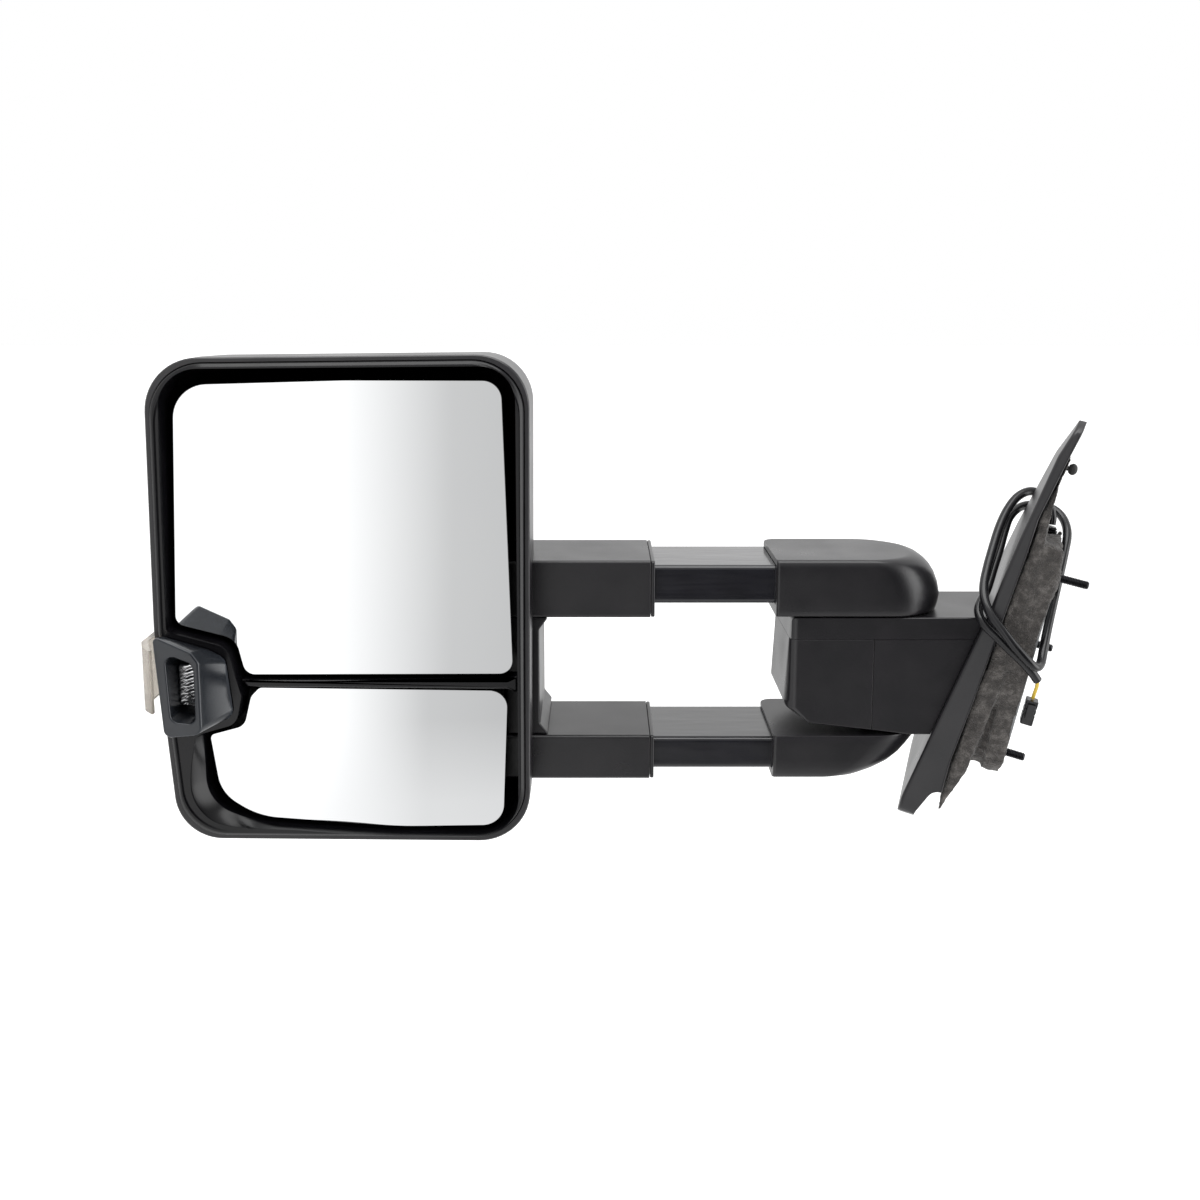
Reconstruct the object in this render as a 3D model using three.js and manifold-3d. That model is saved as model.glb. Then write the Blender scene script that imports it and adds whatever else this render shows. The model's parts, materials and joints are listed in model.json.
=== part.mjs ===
// Telescoping towing mirror, driver's side, fully extended.
// Millimetres, +Z up, +X towards the door, +Y towards the front of the vehicle.
// The origin lies on the flat pad that bolts to the door.
// The mirror glass faces -Y.

import * as THREE from 'three';
import { mergeVertices } from 'three/addons/utils/BufferGeometryUtils.js';
import Module from 'manifold-3d';

const wasm = await Module();
wasm.setup();

// ---------------------------------------------------------------- driving dimensions

const GAP = 0.3;                       // between pieces that touch
const DEGREE = Math.PI / 180;

// mirror head
const HEAD_LEFT = -591;
const HEAD_RIGHT = -352;
const HEAD_TOP = 172;
const HEAD_BOTTOM = -143;
const HEAD_REAR_Y = -84;               // lip of the bezel
const SHELL_WALL = 2.8;
const GLASS_Y = -75;                   // reflecting face
const GLASS_THICK = 2.2;

// telescoping arms
const ARM_HALF_DEPTH = 40;
const TUBE_HALF_DEPTH = 34;
const SLEEVE_WALL = 3;
const TUBE_WALL = 2.5;
const TUBE_END_X = -346;
const TUBE_ROOT_X = -152;
const SLEEVE_INNER_X = -430;
const SLEEVE_END_X = -275.5;
const COLLAR_LENGTH = 2.5;
const UPPER = { sleeveLow: -4.5, sleeveHigh: 34, tubeLow: 3.5, tubeHigh: 29.5 };
const LOWER = { sleeveLow: -116.5, sleeveHigh: -86, tubeLow: -111.5, tubeHigh: -89.5 };

// fold pivot
const PIVOT_X = -126;
const SHAFT_RADIUS = 9;
const BLOCK_HALF_DEPTH = 38;
const BLOCK_TOP = -5;
const BLOCK_SEAM_Z = -20;
const COVER_LEFT_X = -192;
const COVER_WALL = 3;
const COVER_LIP = 2.2;

// door base, in the plate's own frame: n towards the door, y forward, u up the plate
const PLATE_TILT = 12 * DEGREE;
const PLATE_YAW = 18 * DEGREE;
const BASE_WALL = 3;
const STUD_RADIUS = 3;
const STUDS = [
  { name: 'mount_stud_upper', y: -28, u: 21, tip: 22 },
  { name: 'mount_stud_lower', y: -36, u: -104, tip: 13 },
  { name: 'mount_stud_front', y: 38, u: -44, tip: 18 },
];
const HARNESS_EXIT = { n: -8, y: 14, u: 47 };

// glass actuator
const ACTUATOR_X = -478;
const ACTUATOR_Z = 75;
const GIMBAL_Y = -63.2;
const EAR_HALF = 2.9;                   // ears on either side of a gimbal pin
const PLUNGER_ARM = 28;
const LOWER_PIVOT_X = -466;
const LOWER_PIVOT_Z = -90;

// wiring
const HARNESS_DIAMETER = 6;
const LEAD_DIAMETER = 2.4;

// ---------------------------------------------------------------- materials

const plastic = (color, roughness) =>
  new THREE.MeshStandardMaterial({ color, roughness, metalness: 0 });
const metal = (color, roughness) =>
  new THREE.MeshStandardMaterial({ color, roughness, metalness: 1 });

const GRAINED_BLACK = plastic(0x2b2b2d, 0.62);
const BEZEL_BLACK = plastic(0x161617, 0.4);
const INNER_BLACK = plastic(0x1f1f20, 0.7);
const TUBE_BLACK = plastic(0x17171a, 0.25);
const POD_GREY = plastic(0x3a3d40, 0.5);
const FOAM_GREY = plastic(0x5f5852, 0.95);
const CABLE_BLACK = plastic(0x1b1b1d, 0.5);
const LEAD_YELLOW = plastic(0xd8b63a, 0.5);
const NYLON_WHITE = plastic(0xd9d6cc, 0.5);
const BOARD_GREEN = plastic(0x1f5a38, 0.5);
const HEATER_BROWN = plastic(0x6b4a2a, 0.6);
const CAST_ALUMINIUM = metal(0x9a9c9e, 0.5);
const BLACK_STEEL = metal(0x3a3a3c, 0.4);
const BRIGHT_STEEL = metal(0xb8bac0, 0.3);
const CHROME = metal(0xe8e8ea, 0.08);
const MIRROR = metal(0xf2f4f5, 0.03);
const CLEAR_LENS = new THREE.MeshStandardMaterial({
  color: 0xcfc9b8, roughness: 0.1, metalness: 0, transparent: true, opacity: 0.5,
});

// ---------------------------------------------------------------- outlines

// A closed outline with rounded corners. Each corner is [x, y, radius].
function roundedOutline(corners, steps = 4) {
  const points = [];
  corners.forEach(([x, y, radius], index) => {
    const corner = new THREE.Vector2(x, y);
    const before = corners[(index + corners.length - 1) % corners.length];
    const after = corners[(index + 1) % corners.length];
    const toBefore = new THREE.Vector2(before[0] - x, before[1] - y);
    const toAfter = new THREE.Vector2(after[0] - x, after[1] - y);
    const room = 0.46 * Math.min(toBefore.length(), toAfter.length());
    toBefore.normalize();
    toAfter.normalize();
    const halfAngle = Math.acos(THREE.MathUtils.clamp(toBefore.dot(toAfter), -1, 1)) / 2;
    const reach = Math.min(radius / Math.tan(halfAngle), room);
    const start = corner.clone().addScaledVector(toBefore, reach);
    const end = corner.clone().addScaledVector(toAfter, reach);
    if (reach < 0.01) {
      points.push(corner);
      return;
    }
    const arcRadius = reach * Math.tan(halfAngle);
    const bisector = toBefore.clone().add(toAfter).normalize();
    const centre = corner.clone().addScaledVector(bisector, arcRadius / Math.sin(halfAngle));
    const from = Math.atan2(start.y - centre.y, start.x - centre.x);
    let sweep = Math.atan2(end.y - centre.y, end.x - centre.x) - from;
    sweep -= Math.round(sweep / (2 * Math.PI)) * 2 * Math.PI;
    for (let step = 0; step <= steps; step += 1) {
      const angle = from + (sweep * step) / steps;
      points.push(new THREE.Vector2(
        centre.x + arcRadius * Math.cos(angle),
        centre.y + arcRadius * Math.sin(angle),
      ));
    }
  });
  if (THREE.ShapeUtils.area(points) < 0) points.reverse();
  return points;
}

function rectangle(low, high, radius = 0, steps = 3) {
  return roundedOutline([
    [low[0], low[1], radius],
    [high[0], low[1], radius],
    [high[0], high[1], radius],
    [low[0], high[1], radius],
  ], steps);
}

function circle(x, y, radius, sides = 20) {
  return Array.from({ length: sides }, (_, index) => {
    const angle = (2 * Math.PI * index) / sides;
    return new THREE.Vector2(x + radius * Math.cos(angle), y + radius * Math.sin(angle));
  });
}

// ---------------------------------------------------------------- solids

// Skins a stack of outlines that all have the same number of points.
function loft(sections) {
  const count = sections[0].outline.length;
  const positions = [];
  sections.forEach(({ outline, height }) => {
    outline.forEach((point) => positions.push(point.x, point.y, height));
  });
  const index = [];
  for (let level = 0; level < sections.length - 1; level += 1) {
    for (let side = 0; side < count; side += 1) {
      const next = (side + 1) % count;
      const a = level * count + side;
      const b = level * count + next;
      index.push(a, b, b + count, a, b + count, a + count);
    }
  }
  const top = (sections.length - 1) * count;
  THREE.ShapeUtils.triangulateShape(sections[0].outline, [])
    .forEach(([a, b, c]) => index.push(a, c, b));
  THREE.ShapeUtils.triangulateShape(sections[sections.length - 1].outline, [])
    .forEach(([a, b, c]) => index.push(top + a, top + b, top + c));
  const geometry = new THREE.BufferGeometry();
  geometry.setAttribute('position', new THREE.Float32BufferAttribute(positions, 3));
  geometry.setIndex(index);
  return geometry;
}

function extrude(points, low, high, holes = []) {
  const shape = new THREE.Shape(points);
  holes.forEach((hole) => shape.holes.push(new THREE.Path(hole)));
  const geometry = new THREE.ExtrudeGeometry(shape, {
    depth: high - low,
    bevelEnabled: false,
    curveSegments: 1,
  });
  return geometry.translate(0, 0, low);
}

// (x, y) outline raised along Z.
const extrudeZ = extrude;

// (x, z) outline run along Y.
const turnToY = new THREE.Matrix4().makeRotationX(Math.PI / 2);
const extrudeY = (points, low, high, holes = []) =>
  extrude(points, -high, -low, holes).applyMatrix4(turnToY);
const loftY = (sections) =>
  loft(sections.map(({ outline, y }) => ({ outline, height: -y })).reverse())
    .applyMatrix4(turnToY);

// (y, z) outline run along X.
const turnToX = new THREE.Matrix4().makeBasis(
  new THREE.Vector3(0, 1, 0),
  new THREE.Vector3(0, 0, 1),
  new THREE.Vector3(1, 0, 0),
);
const extrudeX = (points, low, high, holes = []) =>
  extrude(points, low, high, holes).applyMatrix4(turnToX);

function box(low, high) {
  const size = high.map((value, axis) => value - low[axis]);
  const centre = high.map((value, axis) => (value + low[axis]) / 2);
  return new THREE.BoxGeometry(...size).translate(...centre);
}

// A rod or ring turned about a line through (x, y), as [radius, height] pairs.
function turned(profile, sides = 20) {
  const points = profile.map(([radius, height]) => new THREE.Vector2(radius, height));
  return new THREE.LatheGeometry(points, sides).rotateX(Math.PI / 2);
}

function rod(radius, low, high, sides = 20) {
  return turned([[0, low], [radius, low], [radius, high], [0, high]], sides);
}

function ring(inner, outer, low, high, sides = 24) {
  return extrude(circle(0, 0, outer, sides), low, high, [circle(0, 0, inner, sides)]);
}

function toSolid(geometry) {
  const bare = geometry.clone();
  Object.keys(bare.attributes)
    .filter((name) => name !== 'position')
    .forEach((name) => bare.deleteAttribute(name));
  const merged = mergeVertices(bare, 1e-4);
  const corners = merged.index.array;
  const kept = [];
  for (let i = 0; i < corners.length; i += 3) {
    const [a, b, c] = [corners[i], corners[i + 1], corners[i + 2]];
    if (a !== b && b !== c && a !== c) kept.push(a, b, c);
  }
  return new wasm.Manifold(new wasm.Mesh({
    numProp: 3,
    vertProperties: Float32Array.from(merged.attributes.position.array),
    triVerts: Uint32Array.from(kept),
  }));
}

function toGeometry(solid) {
  const mesh = solid.getMesh();
  const geometry = new THREE.BufferGeometry();
  geometry.setAttribute('position', new THREE.Float32BufferAttribute(mesh.vertProperties, 3));
  geometry.setIndex(Array.from(mesh.triVerts));
  return geometry;
}

const cut = (base, ...tools) =>
  toGeometry(tools.reduce((solid, tool) => solid.subtract(toSolid(tool)), toSolid(base)));
const join = (base, ...others) =>
  toGeometry(others.reduce((solid, other) => solid.add(toSolid(other)), toSolid(base)));
const common = (base, ...others) =>
  toGeometry(others.reduce((solid, other) => solid.intersect(toSolid(other)), toSolid(base)));

// ---------------------------------------------------------------- assembly

const towingMirror = new THREE.Group();

function addPart(name, geometry, material) {
  const flat = geometry.index ? geometry.toNonIndexed() : geometry;
  flat.computeVertexNormals();
  const mesh = new THREE.Mesh(flat, material);
  mesh.name = name;
  towingMirror.add(mesh);
}

// Plate frame (n, y, u) to the part's frame.
const plateToPart = new THREE.Matrix4().makeRotationFromEuler(
  new THREE.Euler(0, PLATE_TILT, -PLATE_YAW, 'ZYX'),
);
const onPlate = (geometry) => geometry.applyMatrix4(plateToPart);

// ---------------------------------------------------------------- mirror head

// The head's outline seen from behind, moved in by inset.
function headOutline(inset, soften = 0) {
  return roundedOutline([
    [HEAD_LEFT + inset, -5, 200],
    [HEAD_LEFT + 10 + inset, HEAD_BOTTOM + 2 + inset, 30 + soften],
    [HEAD_RIGHT - 2 - inset, HEAD_BOTTOM + inset, 33 + soften],
    [HEAD_RIGHT - inset, HEAD_TOP - inset, 32 + soften],
    [HEAD_LEFT + 2 + inset, HEAD_TOP - 2.5 - inset, 34 + soften],
  ], 5);
}

// The hole in the bezel that both glasses sit in. Its left side steps in around the light pod.
const BEZEL_OPENING = roundedOutline([
  [-578.5, 162.5, 24],
  [-361, 164.5, 22],
  [-361.5, -138.5, 26],
  [-441, -138.5, 150],
  [-531, -131.5, 60],
  [-562.5, -118, 26],
  [-563.5, -69.5, 3],
  [-540, -62.8, 10],
  [-536, -44, 3],
  [-538.5, -34.5, 3],
  [-544, -12, 12],
  [-581.5, -1.8, 3],
]);

function upperGlassOutline() {
  return roundedOutline([
    [-573, 152.5, 22],
    [-466, 155.5, 200],
    [-369.8, 155.2, 12],
    [-364.2, -32.2, 9],
    [-535.5, -32.6, 8],
    [-541, -9, 12],
    [-578.8, 0.8, 7],
  ]);
}

function lowerGlassOutline() {
  return roundedOutline([
    [-527, -41.4, 4],
    [-368.2, -43.6, 11],
    [-372, -134, 14],
    [-441, -135.8, 150],
    [-531, -127.5, 60],
    [-554.5, -112, 25],
    [-559.8, -73, 3],
    [-537.5, -66.8, 9],
    [-532.5, -47, 8],
  ]);
}

function addRearShell() {
  const dome = [
    { y: HEAD_REAR_Y + 4, inset: 0 },
    { y: HEAD_REAR_Y + 26, inset: 0 },
    { y: 0, inset: 1.8 },
    { y: 28, inset: 7 },
    { y: 46, inset: 17 },
    { y: 57, inset: 32 },
    { y: 62, inset: 52 },
  ];
  const outer = loftY(dome.map(({ y, inset }) => ({
    y, outline: headOutline(inset, inset * 0.4),
  })));
  const inner = loftY(dome.map(({ y, inset }, level) => ({
    y: level === 0 ? y - 1 : y - SHELL_WALL,
    outline: headOutline(inset + SHELL_WALL, inset * 0.4),
  })));
  const armDoor = box(
    [HEAD_RIGHT - 62, -ARM_HALF_DEPTH - 0.6, LOWER.sleeveLow - 0.6],
    [HEAD_RIGHT + 5, ARM_HALF_DEPTH + 0.6, UPPER.sleeveHigh + 0.6],
  );
  addPart('rear_shell', cut(outer, inner, armDoor), GRAINED_BLACK);
}

function addBezel() {
  const inset = SHELL_WALL + GAP;
  const blank = loftY([
    { y: HEAD_REAR_Y, outline: headOutline(inset + 2.5) },
    { y: HEAD_REAR_Y + 1, outline: headOutline(inset + 0.8) },
    { y: HEAD_REAR_Y + 3, outline: headOutline(inset) },
    { y: HEAD_REAR_Y + 20, outline: headOutline(inset) },
  ]);
  const opening = extrudeY(BEZEL_OPENING, HEAD_REAR_Y - 5, HEAD_REAR_Y + 30);
  addPart('bezel', cut(blank, opening), BEZEL_BLACK);
}

function addDividerBar() {
  const outline = roundedOutline([
    [-535.4, -35.2, 1],
    [-362.2, -35.4, 1],
    [-362.2, -40.6, 1],
    [-533.4, -38.8, 1],
  ], 1);
  addPart('divider_bar', extrudeY(outline, HEAD_REAR_Y + 4, HEAD_REAR_Y + 18), BEZEL_BLACK);
}

function addHeadFrame() {
  const web = roundedOutline([
    [-565, 145, 30],
    [-374, 145, 20],
    [-374, 36, 2],
    [-432.5, 36, 2],
    [-432.5, -6, 2],
    [-374, -6, 2],
    [-374, -84, 2],
    [-432.5, -84, 2],
    [-432.5, -118, 10],
    [-560, -118, 24],
  ], 2);
  const holes = [
    circle(-540, 20, 14),
    circle(-500, -10, 12),
    circle(-400, 95, 18),
    circle(-535, -80, 14),
  ];
  addPart('head_frame', extrudeY(web, -27.6, -21.6, holes), INNER_BLACK);
}

// ---------------------------------------------------------------- glass, actuator and gimbals

function addGlass(prefix, outline, pivotX, pivotZ, earOffset, withHeater) {
  const shrink = (amount) => outline.map((point) => {
    const centre = new THREE.Vector2(pivotX, pivotZ);
    const away = point.clone().sub(centre);
    return centre.add(away.setLength(away.length() - amount));
  });
  const back = GLASS_Y + GLASS_THICK;
  const heaterBack = withHeater ? back + GAP + 0.6 : back;
  const holderFront = heaterBack + GAP;
  const holderBack = holderFront + 2;
  addPart(`${prefix}_mirror_glass`, extrudeY(outline, GLASS_Y, back), MIRROR);
  if (withHeater) {
    addPart(`${prefix}_heater_pad`, extrudeY(shrink(6), back + GAP, heaterBack), HEATER_BROWN);
  }
  const ears = [-1, 1].map((side) => box(
    [pivotX + side * earOffset - 2, holderBack - 1, pivotZ - 5],
    [pivotX + side * earOffset + 2, GIMBAL_Y + EAR_HALF, pivotZ + 5],
  ));
  const pinHole = rod(2.3, -earOffset - 6, earOffset + 6, 12)
    .rotateY(Math.PI / 2)
    .translate(pivotX, GIMBAL_Y, pivotZ);
  const plate = extrudeY(shrink(1.2), holderFront, holderBack);
  addPart(`${prefix}_glass_holder`, cut(join(plate, ...ears), pinHole), INNER_BLACK);
}

// A ring that pans on two upright pins and carries the glass on two level pins.
function addGimbal(name, x, z, radius) {
  const hoop = ring(radius - 3.5, radius, -2.5, 2.5).rotateX(Math.PI / 2);
  const level = rod(2, radius - 2, radius + 5, 12).rotateY(Math.PI / 2);
  const upright = rod(2, radius - 2, radius + 5, 12);
  const pins = [
    level.clone(),
    level.clone().rotateZ(Math.PI),
    upright.clone(),
    upright.clone().rotateY(Math.PI),
  ];
  addPart(name, join(hoop, ...pins).translate(x, GIMBAL_Y, z), NYLON_WHITE);
}

// Upright-pin ears that stand on a base plate and reach the gimbal.
function gimbalEars(x, z, earOffset, baseY) {
  const ears = [-1, 1].map((side) => box(
    [x - 5, GIMBAL_Y - EAR_HALF, z + side * earOffset - 2],
    [x + 5, baseY, z + side * earOffset + 2],
  ));
  const pinHole = rod(2.3, -earOffset - 6, earOffset + 6, 12).translate(x, GIMBAL_Y, z);
  return { ears, pinHole };
}

function addActuator() {
  const half = 42;
  const coverFront = -57.2;
  const housingFront = -54.5;
  const housingBack = -28;
  const low = [ACTUATOR_X - half, ACTUATOR_Z - half];
  const high = [ACTUATOR_X + half, ACTUATOR_Z + half];
  const wall = 2.5;
  const { ears, pinHole } = gimbalEars(ACTUATOR_X, ACTUATOR_Z, 18, coverFront + 1);
  const plungers = [
    { name: 'pan_plunger', x: ACTUATOR_X + PLUNGER_ARM, z: ACTUATOR_Z },
    { name: 'tilt_plunger', x: ACTUATOR_X, z: ACTUATOR_Z + PLUNGER_ARM },
  ];
  const bores = plungers.map(({ x, z }) =>
    rod(4.6, -1, 20, 16).rotateX(Math.PI / 2).translate(x, coverFront + 10, z));
  const lid = extrudeY(rectangle(low, high, 10), coverFront, housingFront - GAP);
  addPart('actuator_cover', cut(join(lid, ...ears), pinHole, ...bores), INNER_BLACK);

  const shell = extrudeY(rectangle(low, high, 10), housingFront, housingBack);
  const hollow = extrudeY(
    rectangle(low.map((v) => v + wall), high.map((v) => v - wall), 8),
    housingFront - 1,
    housingBack - wall,
  );
  addPart('actuator_housing', cut(shell, hollow), INNER_BLACK);

  plungers.forEach(({ name, x, z }) => {
    const profile = [[0, 69], [2.4, 68.6], [4, 66], [4, 38], [0, 38]];
    const plunger = turned(profile.reverse(), 16).rotateX(Math.PI / 2);
    addPart(name, plunger.translate(x, 0, z), NYLON_WHITE);
  });

  const motorY = -43;
  const motors = [
    { name: 'pan_motor', x: ACTUATOR_X + 16, z: ACTUATOR_Z - 24 },
    { name: 'tilt_motor', x: ACTUATOR_X - 18, z: ACTUATOR_Z + 12 },
  ];
  motors.forEach(({ name, x, z }) => {
    const can = turned([[0, -14], [9, -14], [9, 12], [3, 12], [1.6, 15], [0, 15]], 18);
    addPart(name, can.rotateY(Math.PI / 2).translate(x - 4, motorY, z), BRIGHT_STEEL);
  });
}

function addLowerGlassBracket() {
  const base = extrudeY(
    rectangle([LOWER_PIVOT_X - 24, LOWER_PIVOT_Z - 22], [LOWER_PIVOT_X + 24, LOWER_PIVOT_Z + 22], 6),
    -56.8,
    -53,
  );
  const post = extrudeY(circle(LOWER_PIVOT_X, LOWER_PIVOT_Z, 12, 16), -54, -28);
  const { ears, pinHole } = gimbalEars(LOWER_PIVOT_X, LOWER_PIVOT_Z, 14, -56);
  addPart('lower_glass_bracket', cut(join(base, post, ...ears), pinHole), INNER_BLACK);
}

// ---------------------------------------------------------------- light pod

const POD_FRONT_Y = -115;

function addLightPod() {
  const base = roundedOutline([
    [-588, -3.5, 5],
    [-556, -13, 8],
    [-545, -19, 8],
    [-541, -58, 8],
    [-583, -68, 8],
  ], 3);
  const front = roundedOutline([
    [-579.5, 4.5, 3],
    [-556, -6.5, 3],
    [-551.5, -13, 5],
    [-551.6, -58.5, 6],
    [-575, -60.5, 5],
  ], 3);
  const window = roundedOutline([
    [-572, -7.5, 4],
    [-557.5, -13, 3],
    [-555.5, -17, 3],
    [-555.5, -51.5, 4],
    [-570, -50, 5],
  ], 3);
  const body = loftY([
    { y: POD_FRONT_Y, outline: front },
    { y: HEAD_REAR_Y - GAP, outline: base },
  ]);
  const recess = extrudeY(window, POD_FRONT_Y - 2, HEAD_REAR_Y - 7);
  addPart('light_pod_housing', cut(body, recess), POD_GREY);

  const bowl = extrudeY(
    rectangle([-568.5, -46], [-558.8, -20], 2),
    HEAD_REAR_Y - 12,
    HEAD_REAR_Y - 7 - GAP,
  );
  const rim = extrudeY(
    rectangle([-567, -44], [-560.3, -22], 2),
    HEAD_REAR_Y - 13,
    HEAD_REAR_Y - 9,
  );
  addPart('light_reflector', cut(bowl, rim), CHROME);
  addPart(
    'reading_led_board',
    extrudeY(rectangle([-565.5, -42], [-561.8, -24], 0.5, 1), HEAD_REAR_Y - 11, HEAD_REAR_Y - 9 - GAP),
    BOARD_GREEN,
  );

  const lensLow = -47;
  const lensHigh = -7;
  const lensOutline = roundedOutline([
    [-582.6, -111, 1],
    [-590, -103, 8],
    [-596, -88, 10],
    [-596.5, -60, 1.5],
    [-592, -60, 0.5],
    [-592, -86.5, 2],
    [-587, -99, 4],
    [-582.8, -106.5, 0.5],
  ], 2);
  addPart('side_marker_lens', extrudeZ(lensOutline, lensLow, lensHigh), CLEAR_LENS);
}

// ---------------------------------------------------------------- telescoping arms

function armSection(arm, halfDepth, inset, radius) {
  return rectangle(
    [-halfDepth + inset, arm.low + inset],
    [halfDepth - inset, arm.high - inset],
    radius,
  );
}

function addTelescope(prefix, levels) {
  const sleeve = { low: levels.sleeveLow, high: levels.sleeveHigh };
  const tube = { low: levels.tubeLow, high: levels.tubeHigh };
  const bore = armSection(sleeve, ARM_HALF_DEPTH, SLEEVE_WALL, 3);
  addPart(
    `${prefix}_sleeve`,
    extrudeX(armSection(sleeve, ARM_HALF_DEPTH, 0, 4), SLEEVE_INNER_X, SLEEVE_END_X, [bore]),
    GRAINED_BLACK,
  );
  addPart(
    `${prefix}_sleeve_collar`,
    extrudeX(
      armSection(sleeve, ARM_HALF_DEPTH, 0.2, 4),
      SLEEVE_END_X + GAP,
      SLEEVE_END_X + GAP + COLLAR_LENGTH,
      [armSection(tube, TUBE_HALF_DEPTH, -0.5, 4.5)],
    ),
    GRAINED_BLACK,
  );
  addPart(
    `${prefix}_tube`,
    extrudeX(
      armSection(tube, TUBE_HALF_DEPTH, 0, 4),
      TUBE_END_X,
      TUBE_ROOT_X,
      [armSection(tube, TUBE_HALF_DEPTH, TUBE_WALL, 2)],
    ),
    TUBE_BLACK,
  );
  addPart(
    `${prefix}_tube_slider`,
    extrudeX(
      armSection(sleeve, ARM_HALF_DEPTH, SLEEVE_WALL + 0.5, 3),
      TUBE_END_X - 8,
      TUBE_END_X - GAP,
      [armSection(tube, TUBE_HALF_DEPTH, TUBE_WALL, 2)],
    ),
    NYLON_WHITE,
  );
}

function addSleeveBracket() {
  const outline = roundedOutline([
    [-372, UPPER.sleeveLow - GAP, 0],
    [-342, UPPER.sleeveLow - GAP, 1],
    [-349.5, -13, 3],
    [-349.5, -78, 3],
    [-342, LOWER.sleeveHigh + GAP, 1],
    [-372, LOWER.sleeveHigh + GAP, 0],
  ], 2);
  const body = extrudeY(outline, -BLOCK_HALF_DEPTH, BLOCK_HALF_DEPTH);
  const pocket = box([-380, -34, -76], [-354, 34, -15]);
  addPart('sleeve_bracket', cut(body, pocket), GRAINED_BLACK);
}

// ---------------------------------------------------------------- pivot covers and knuckles

// Plan outline of an arm cover: square towards the head, round towards the door.
function coverPlan(endX, halfWidth, leftX) {
  return roundedOutline([
    [leftX, -halfWidth, 2],
    [endX, -halfWidth, halfWidth - 0.5],
    [endX, halfWidth, halfWidth - 0.5],
    [leftX, halfWidth, 2],
  ], 7);
}

function addArmCover(name, stack, tube, hubHole) {
  const outer = loft(stack.map(({ z, endX, half }) => ({
    height: z, outline: coverPlan(endX, half, COVER_LEFT_X),
  })));
  const middle = (stack[0].z + stack[stack.length - 1].z) / 2;
  const inner = loft(stack.map(({ z, endX, half }) => ({
    height: z + (z < middle ? COVER_LIP : -COVER_LIP),
    outline: coverPlan(endX - COVER_WALL, half - COVER_WALL, COVER_LEFT_X + COVER_WALL),
  })));
  const tubeHole = extrudeX(
    armSection(tube, TUBE_HALF_DEPTH, -0.5, 4),
    COVER_LEFT_X - 5,
    COVER_LEFT_X + 10,
  );
  const hole = extrudeZ(circle(PIVOT_X, 0, hubHole.radius, 28), hubHole.low, hubHole.high);
  addPart(name, cut(outer, inner, tubeHole, hole), GRAINED_BLACK);
}

function addArmCovers() {
  addArmCover('upper_arm_cover', [
    { z: -4, endX: -78, half: 39.5 },
    { z: 6, endX: -76, half: 40 },
    { z: 20, endX: -80, half: 40 },
    { z: 30, endX: -87, half: 39.8 },
    { z: 34, endX: -94, half: 38 },
  ], { low: UPPER.tubeLow, high: UPPER.tubeHigh }, { radius: 26, low: -10, high: 2 });
  addArmCover('lower_arm_cover', [
    { z: -117, endX: -132, half: 37 },
    { z: -114.5, endX: -116, half: 39 },
    { z: -108, endX: -103, half: 40 },
    { z: -98, endX: -94, half: 40 },
    { z: -86.5, endX: -87, half: 40 },
  ], { low: LOWER.tubeLow, high: LOWER.tubeHigh }, { radius: 22, low: -92, high: -80 });
}

// A cast knuckle: a hub around the shaft and a plug that fills the end of the tube.
function addKnuckle(name, hub, tube, ringRecess) {
  const body = extrudeZ(circle(PIVOT_X, 0, hub.radius, 28), hub.low, hub.high);
  const plugSection = armSection(tube, TUBE_HALF_DEPTH, TUBE_WALL + GAP, 2);
  const plug = extrudeX(plugSection, TUBE_ROOT_X - 30, TUBE_ROOT_X + 8);
  const neck = box(
    [TUBE_ROOT_X + GAP, -20, Math.max(hub.low, tube.low + 1)],
    [PIVOT_X, 20, Math.min(hub.high, tube.high - 1)],
  );
  const bore = extrudeZ(circle(PIVOT_X, 0, SHAFT_RADIUS + 0.3, 24), hub.low - 60, hub.high + 60);
  const recess = extrudeZ(circle(PIVOT_X, 0, 19.5, 28), ringRecess.low, ringRecess.high);
  addPart(name, cut(join(body, plug, neck), bore, recess), CAST_ALUMINIUM);
}

function addKnuckles() {
  addKnuckle(
    'upper_knuckle',
    { low: -3.6, high: 8, radius: 24 },
    { low: UPPER.tubeLow, high: UPPER.tubeHigh },
    { low: -5, high: -0.9 },
  );
  addKnuckle(
    'lower_knuckle',
    { low: -102, high: -86.6, radius: 20 },
    { low: LOWER.tubeLow, high: LOWER.tubeHigh },
    { low: -130, high: -107.4 },
  );
}

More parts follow.
